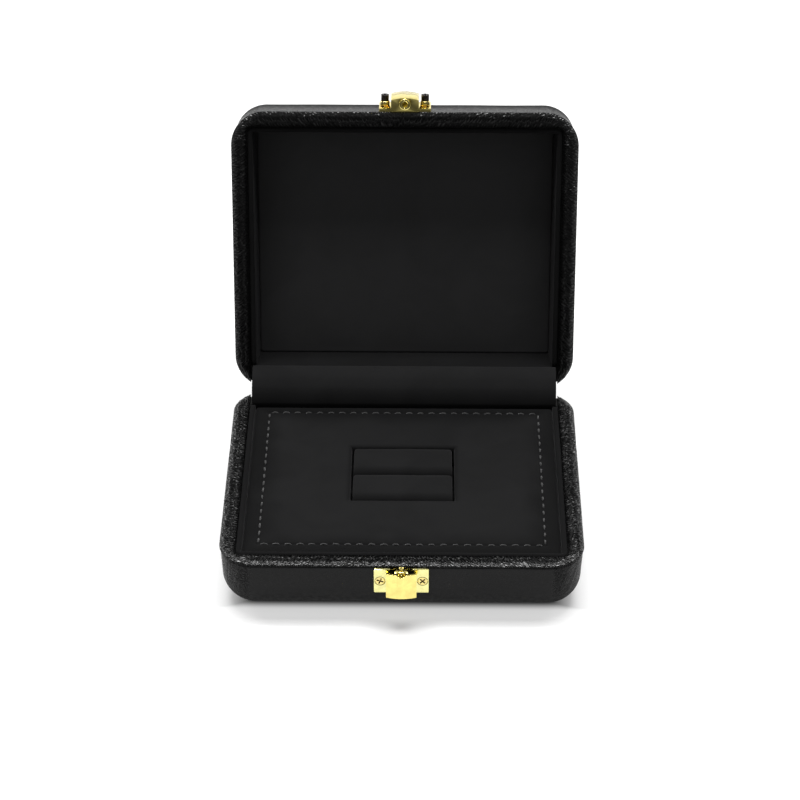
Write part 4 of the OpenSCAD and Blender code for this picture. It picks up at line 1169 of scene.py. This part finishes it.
# ---------------------------------------------------------------- floor, light, camera
me = bpy.data.meshes.new("floor")
me.from_pydata([(-4, -0.38, 0), (4, -0.38, 0), (4, 4, 0), (-4, 4, 0)], [], [(0, 1, 2, 3)])
floor = bpy.data.objects.new("floor", me)
bpy.context.scene.collection.objects.link(floor)
g = Graph("floor_white")
# painted light and shadow: the floor glows, with no glow under the box, a ramp up just in front of it and a small dip a
# little further out, so the glow shapes the contact shadow; beside the box a second ramp lifts the glow and paints the
# side shadow away
ax = g.n("ShaderNodeSeparateXYZ", {0: g.n("ShaderNodeTexCoord").outputs["Object"]}).outputs
across = g.math("SUBTRACT", g.math("ABSOLUTE", ax[0]), 0.0545)
out = g.math("SUBTRACT", g.math("ABSOLUTE", ax[1]), 0.0445)
glow = g.math("ADD", g.span(out, 0.0012, 0.0065, 0.0, 0.57), g.span(out, 0.0106, 0.0157, 0.0, -0.2))
glow = g.math("MAXIMUM", glow, g.span(across, 0.0, 0.012, 0.0, 0.45))
me.materials.append(g.set(Base_Color=(0.46, 0.46, 0.46, 1), Roughness=0.9, Specular_IOR_Level=0.1,
                          Emission_Color=(1.0, 1.0, 1.0, 1.0), Emission_Strength=glow))


def studio():
    """Soft surrounding light: bright above and behind, dimmer in front and dark low in front; the backdrop is white."""
    world = bpy.data.worlds.new("studio")
    bpy.context.scene.world = world
    world.use_nodes = True
    t = world.node_tree
    t.nodes.clear()
    out, bg, tc = (t.nodes.new(k) for k in ("ShaderNodeOutputWorld", "ShaderNodeBackground", "ShaderNodeTexCoord"))
    sep, ray = t.nodes.new("ShaderNodeSeparateXYZ"), t.nodes.new("ShaderNodeLightPath")
    t.links.new(tc.outputs["Generated"], sep.inputs[0])

    def ramp(v, a, b, c, d):
        m = t.nodes.new("ShaderNodeMapRange")
        m.interpolation_type = "SMOOTHSTEP"
        t.links.new(v, m.inputs["Value"])
        for k, x in (("From Min", a), ("From Max", b), ("To Min", c), ("To Max", d)):
            m.inputs[k].default_value = x
        return m.outputs[0]

    def op(kind, a, b):
        m = t.nodes.new("ShaderNodeMath")
        m.operation = kind
        for i, x in enumerate((a, b)):
            if hasattr(x, "links"):
                t.links.new(x, m.inputs[i])
            else:
                m.inputs[i].default_value = x
        return m.outputs[0]

    y, z = sep.outputs["Y"], sep.outputs["Z"]
    back = op("MULTIPLY", ramp(y, -0.1, 0.7, 0.0, 1.0), ramp(z, 0.1, 0.6, 1.0, 0.0))
    near = ramp(y, -0.75, 0.1, 1.0, 0.0)
    side = op("ADD", op("MULTIPLY", near, ramp(z, 0.0, 0.5, 0.07, 0.4)), op("MULTIPLY", op("SUBTRACT", 1.0, near), 0.32))
    glow = op("ADD", op("MULTIPLY", back, 0.85), side)
    seen = ray.outputs["Is Camera Ray"]
    level = op("ADD", op("MULTIPLY", glow, op("SUBTRACT", 1.0, seen)), seen)
    bg.inputs["Color"].default_value = (1, 1, 1, 1)
    t.links.new(level, bg.inputs["Strength"])
    t.links.new(bg.outputs[0], out.inputs[0])


studio()


def area(name, loc, aim, size, power):
    li = bpy.data.lights.new(name, "AREA")
    li.shape = "RECTANGLE"
    li.size, li.size_y = size
    li.energy = power
    ob = bpy.data.objects.new(name, li)
    bpy.context.scene.collection.objects.link(ob)
    z = np.array(loc, float) - np.array(aim, float)
    z /= np.linalg.norm(z)
    x = np.cross((0, 1, 0) if abs(z[2]) > 0.99 else (0, 0, 1), z)
    x /= np.linalg.norm(x)
    y = np.cross(z, x)
    ob.matrix_world = Matrix(((x[0], y[0], z[0], loc[0]), (x[1], y[1], z[1], loc[1]), (x[2], y[2], z[2], loc[2]),
                              (0, 0, 0, 1)))
    return ob


area("overhead", (0, 0.12, 1.25), (0, 0.0, 0.0), (0.95, 0.3), 25.0)
area("left", (-1.10, 0.85, 0.70), (0, 0.0, 0.03), (0.4, 0.45), 6.5)
area("right", (1.10, 0.85, 0.70), (0, 0.0, 0.03), (0.4, 0.45), 4.5)

cam = bpy.data.cameras.new("camera")
cam.sensor_width = 36.0
cam.lens = 2628.09 / 800 * 36.0
cam.clip_start, cam.clip_end = 0.05, 50
cam_ob = bpy.data.objects.new("camera", cam)
bpy.context.scene.collection.objects.link(cam_ob)
p, yaw = math.radians(34.24), -0.010064
Rv = np.array([math.cos(yaw), -math.sin(yaw), 0])
Fv = np.array([math.sin(yaw) * math.cos(p), math.cos(yaw) * math.cos(p), -math.sin(p)])
Uv = np.array([math.sin(yaw) * math.sin(p), math.cos(yaw) * math.sin(p), math.cos(p)])
C = (np.array([0, 55.75, 24.5]) - 1.5877 * Rv - 3.8855 * Uv - 1030.457 * Fv) * 0.001
cam_ob.matrix_world = Matrix([[Rv[i], Uv[i], -Fv[i], C[i]] for i in range(3)] + [[0, 0, 0, 1]])
bpy.context.scene.camera = cam_ob
bpy.context.scene.view_settings.view_transform = "Standard"
bpy.context.scene.view_settings.look = "None"
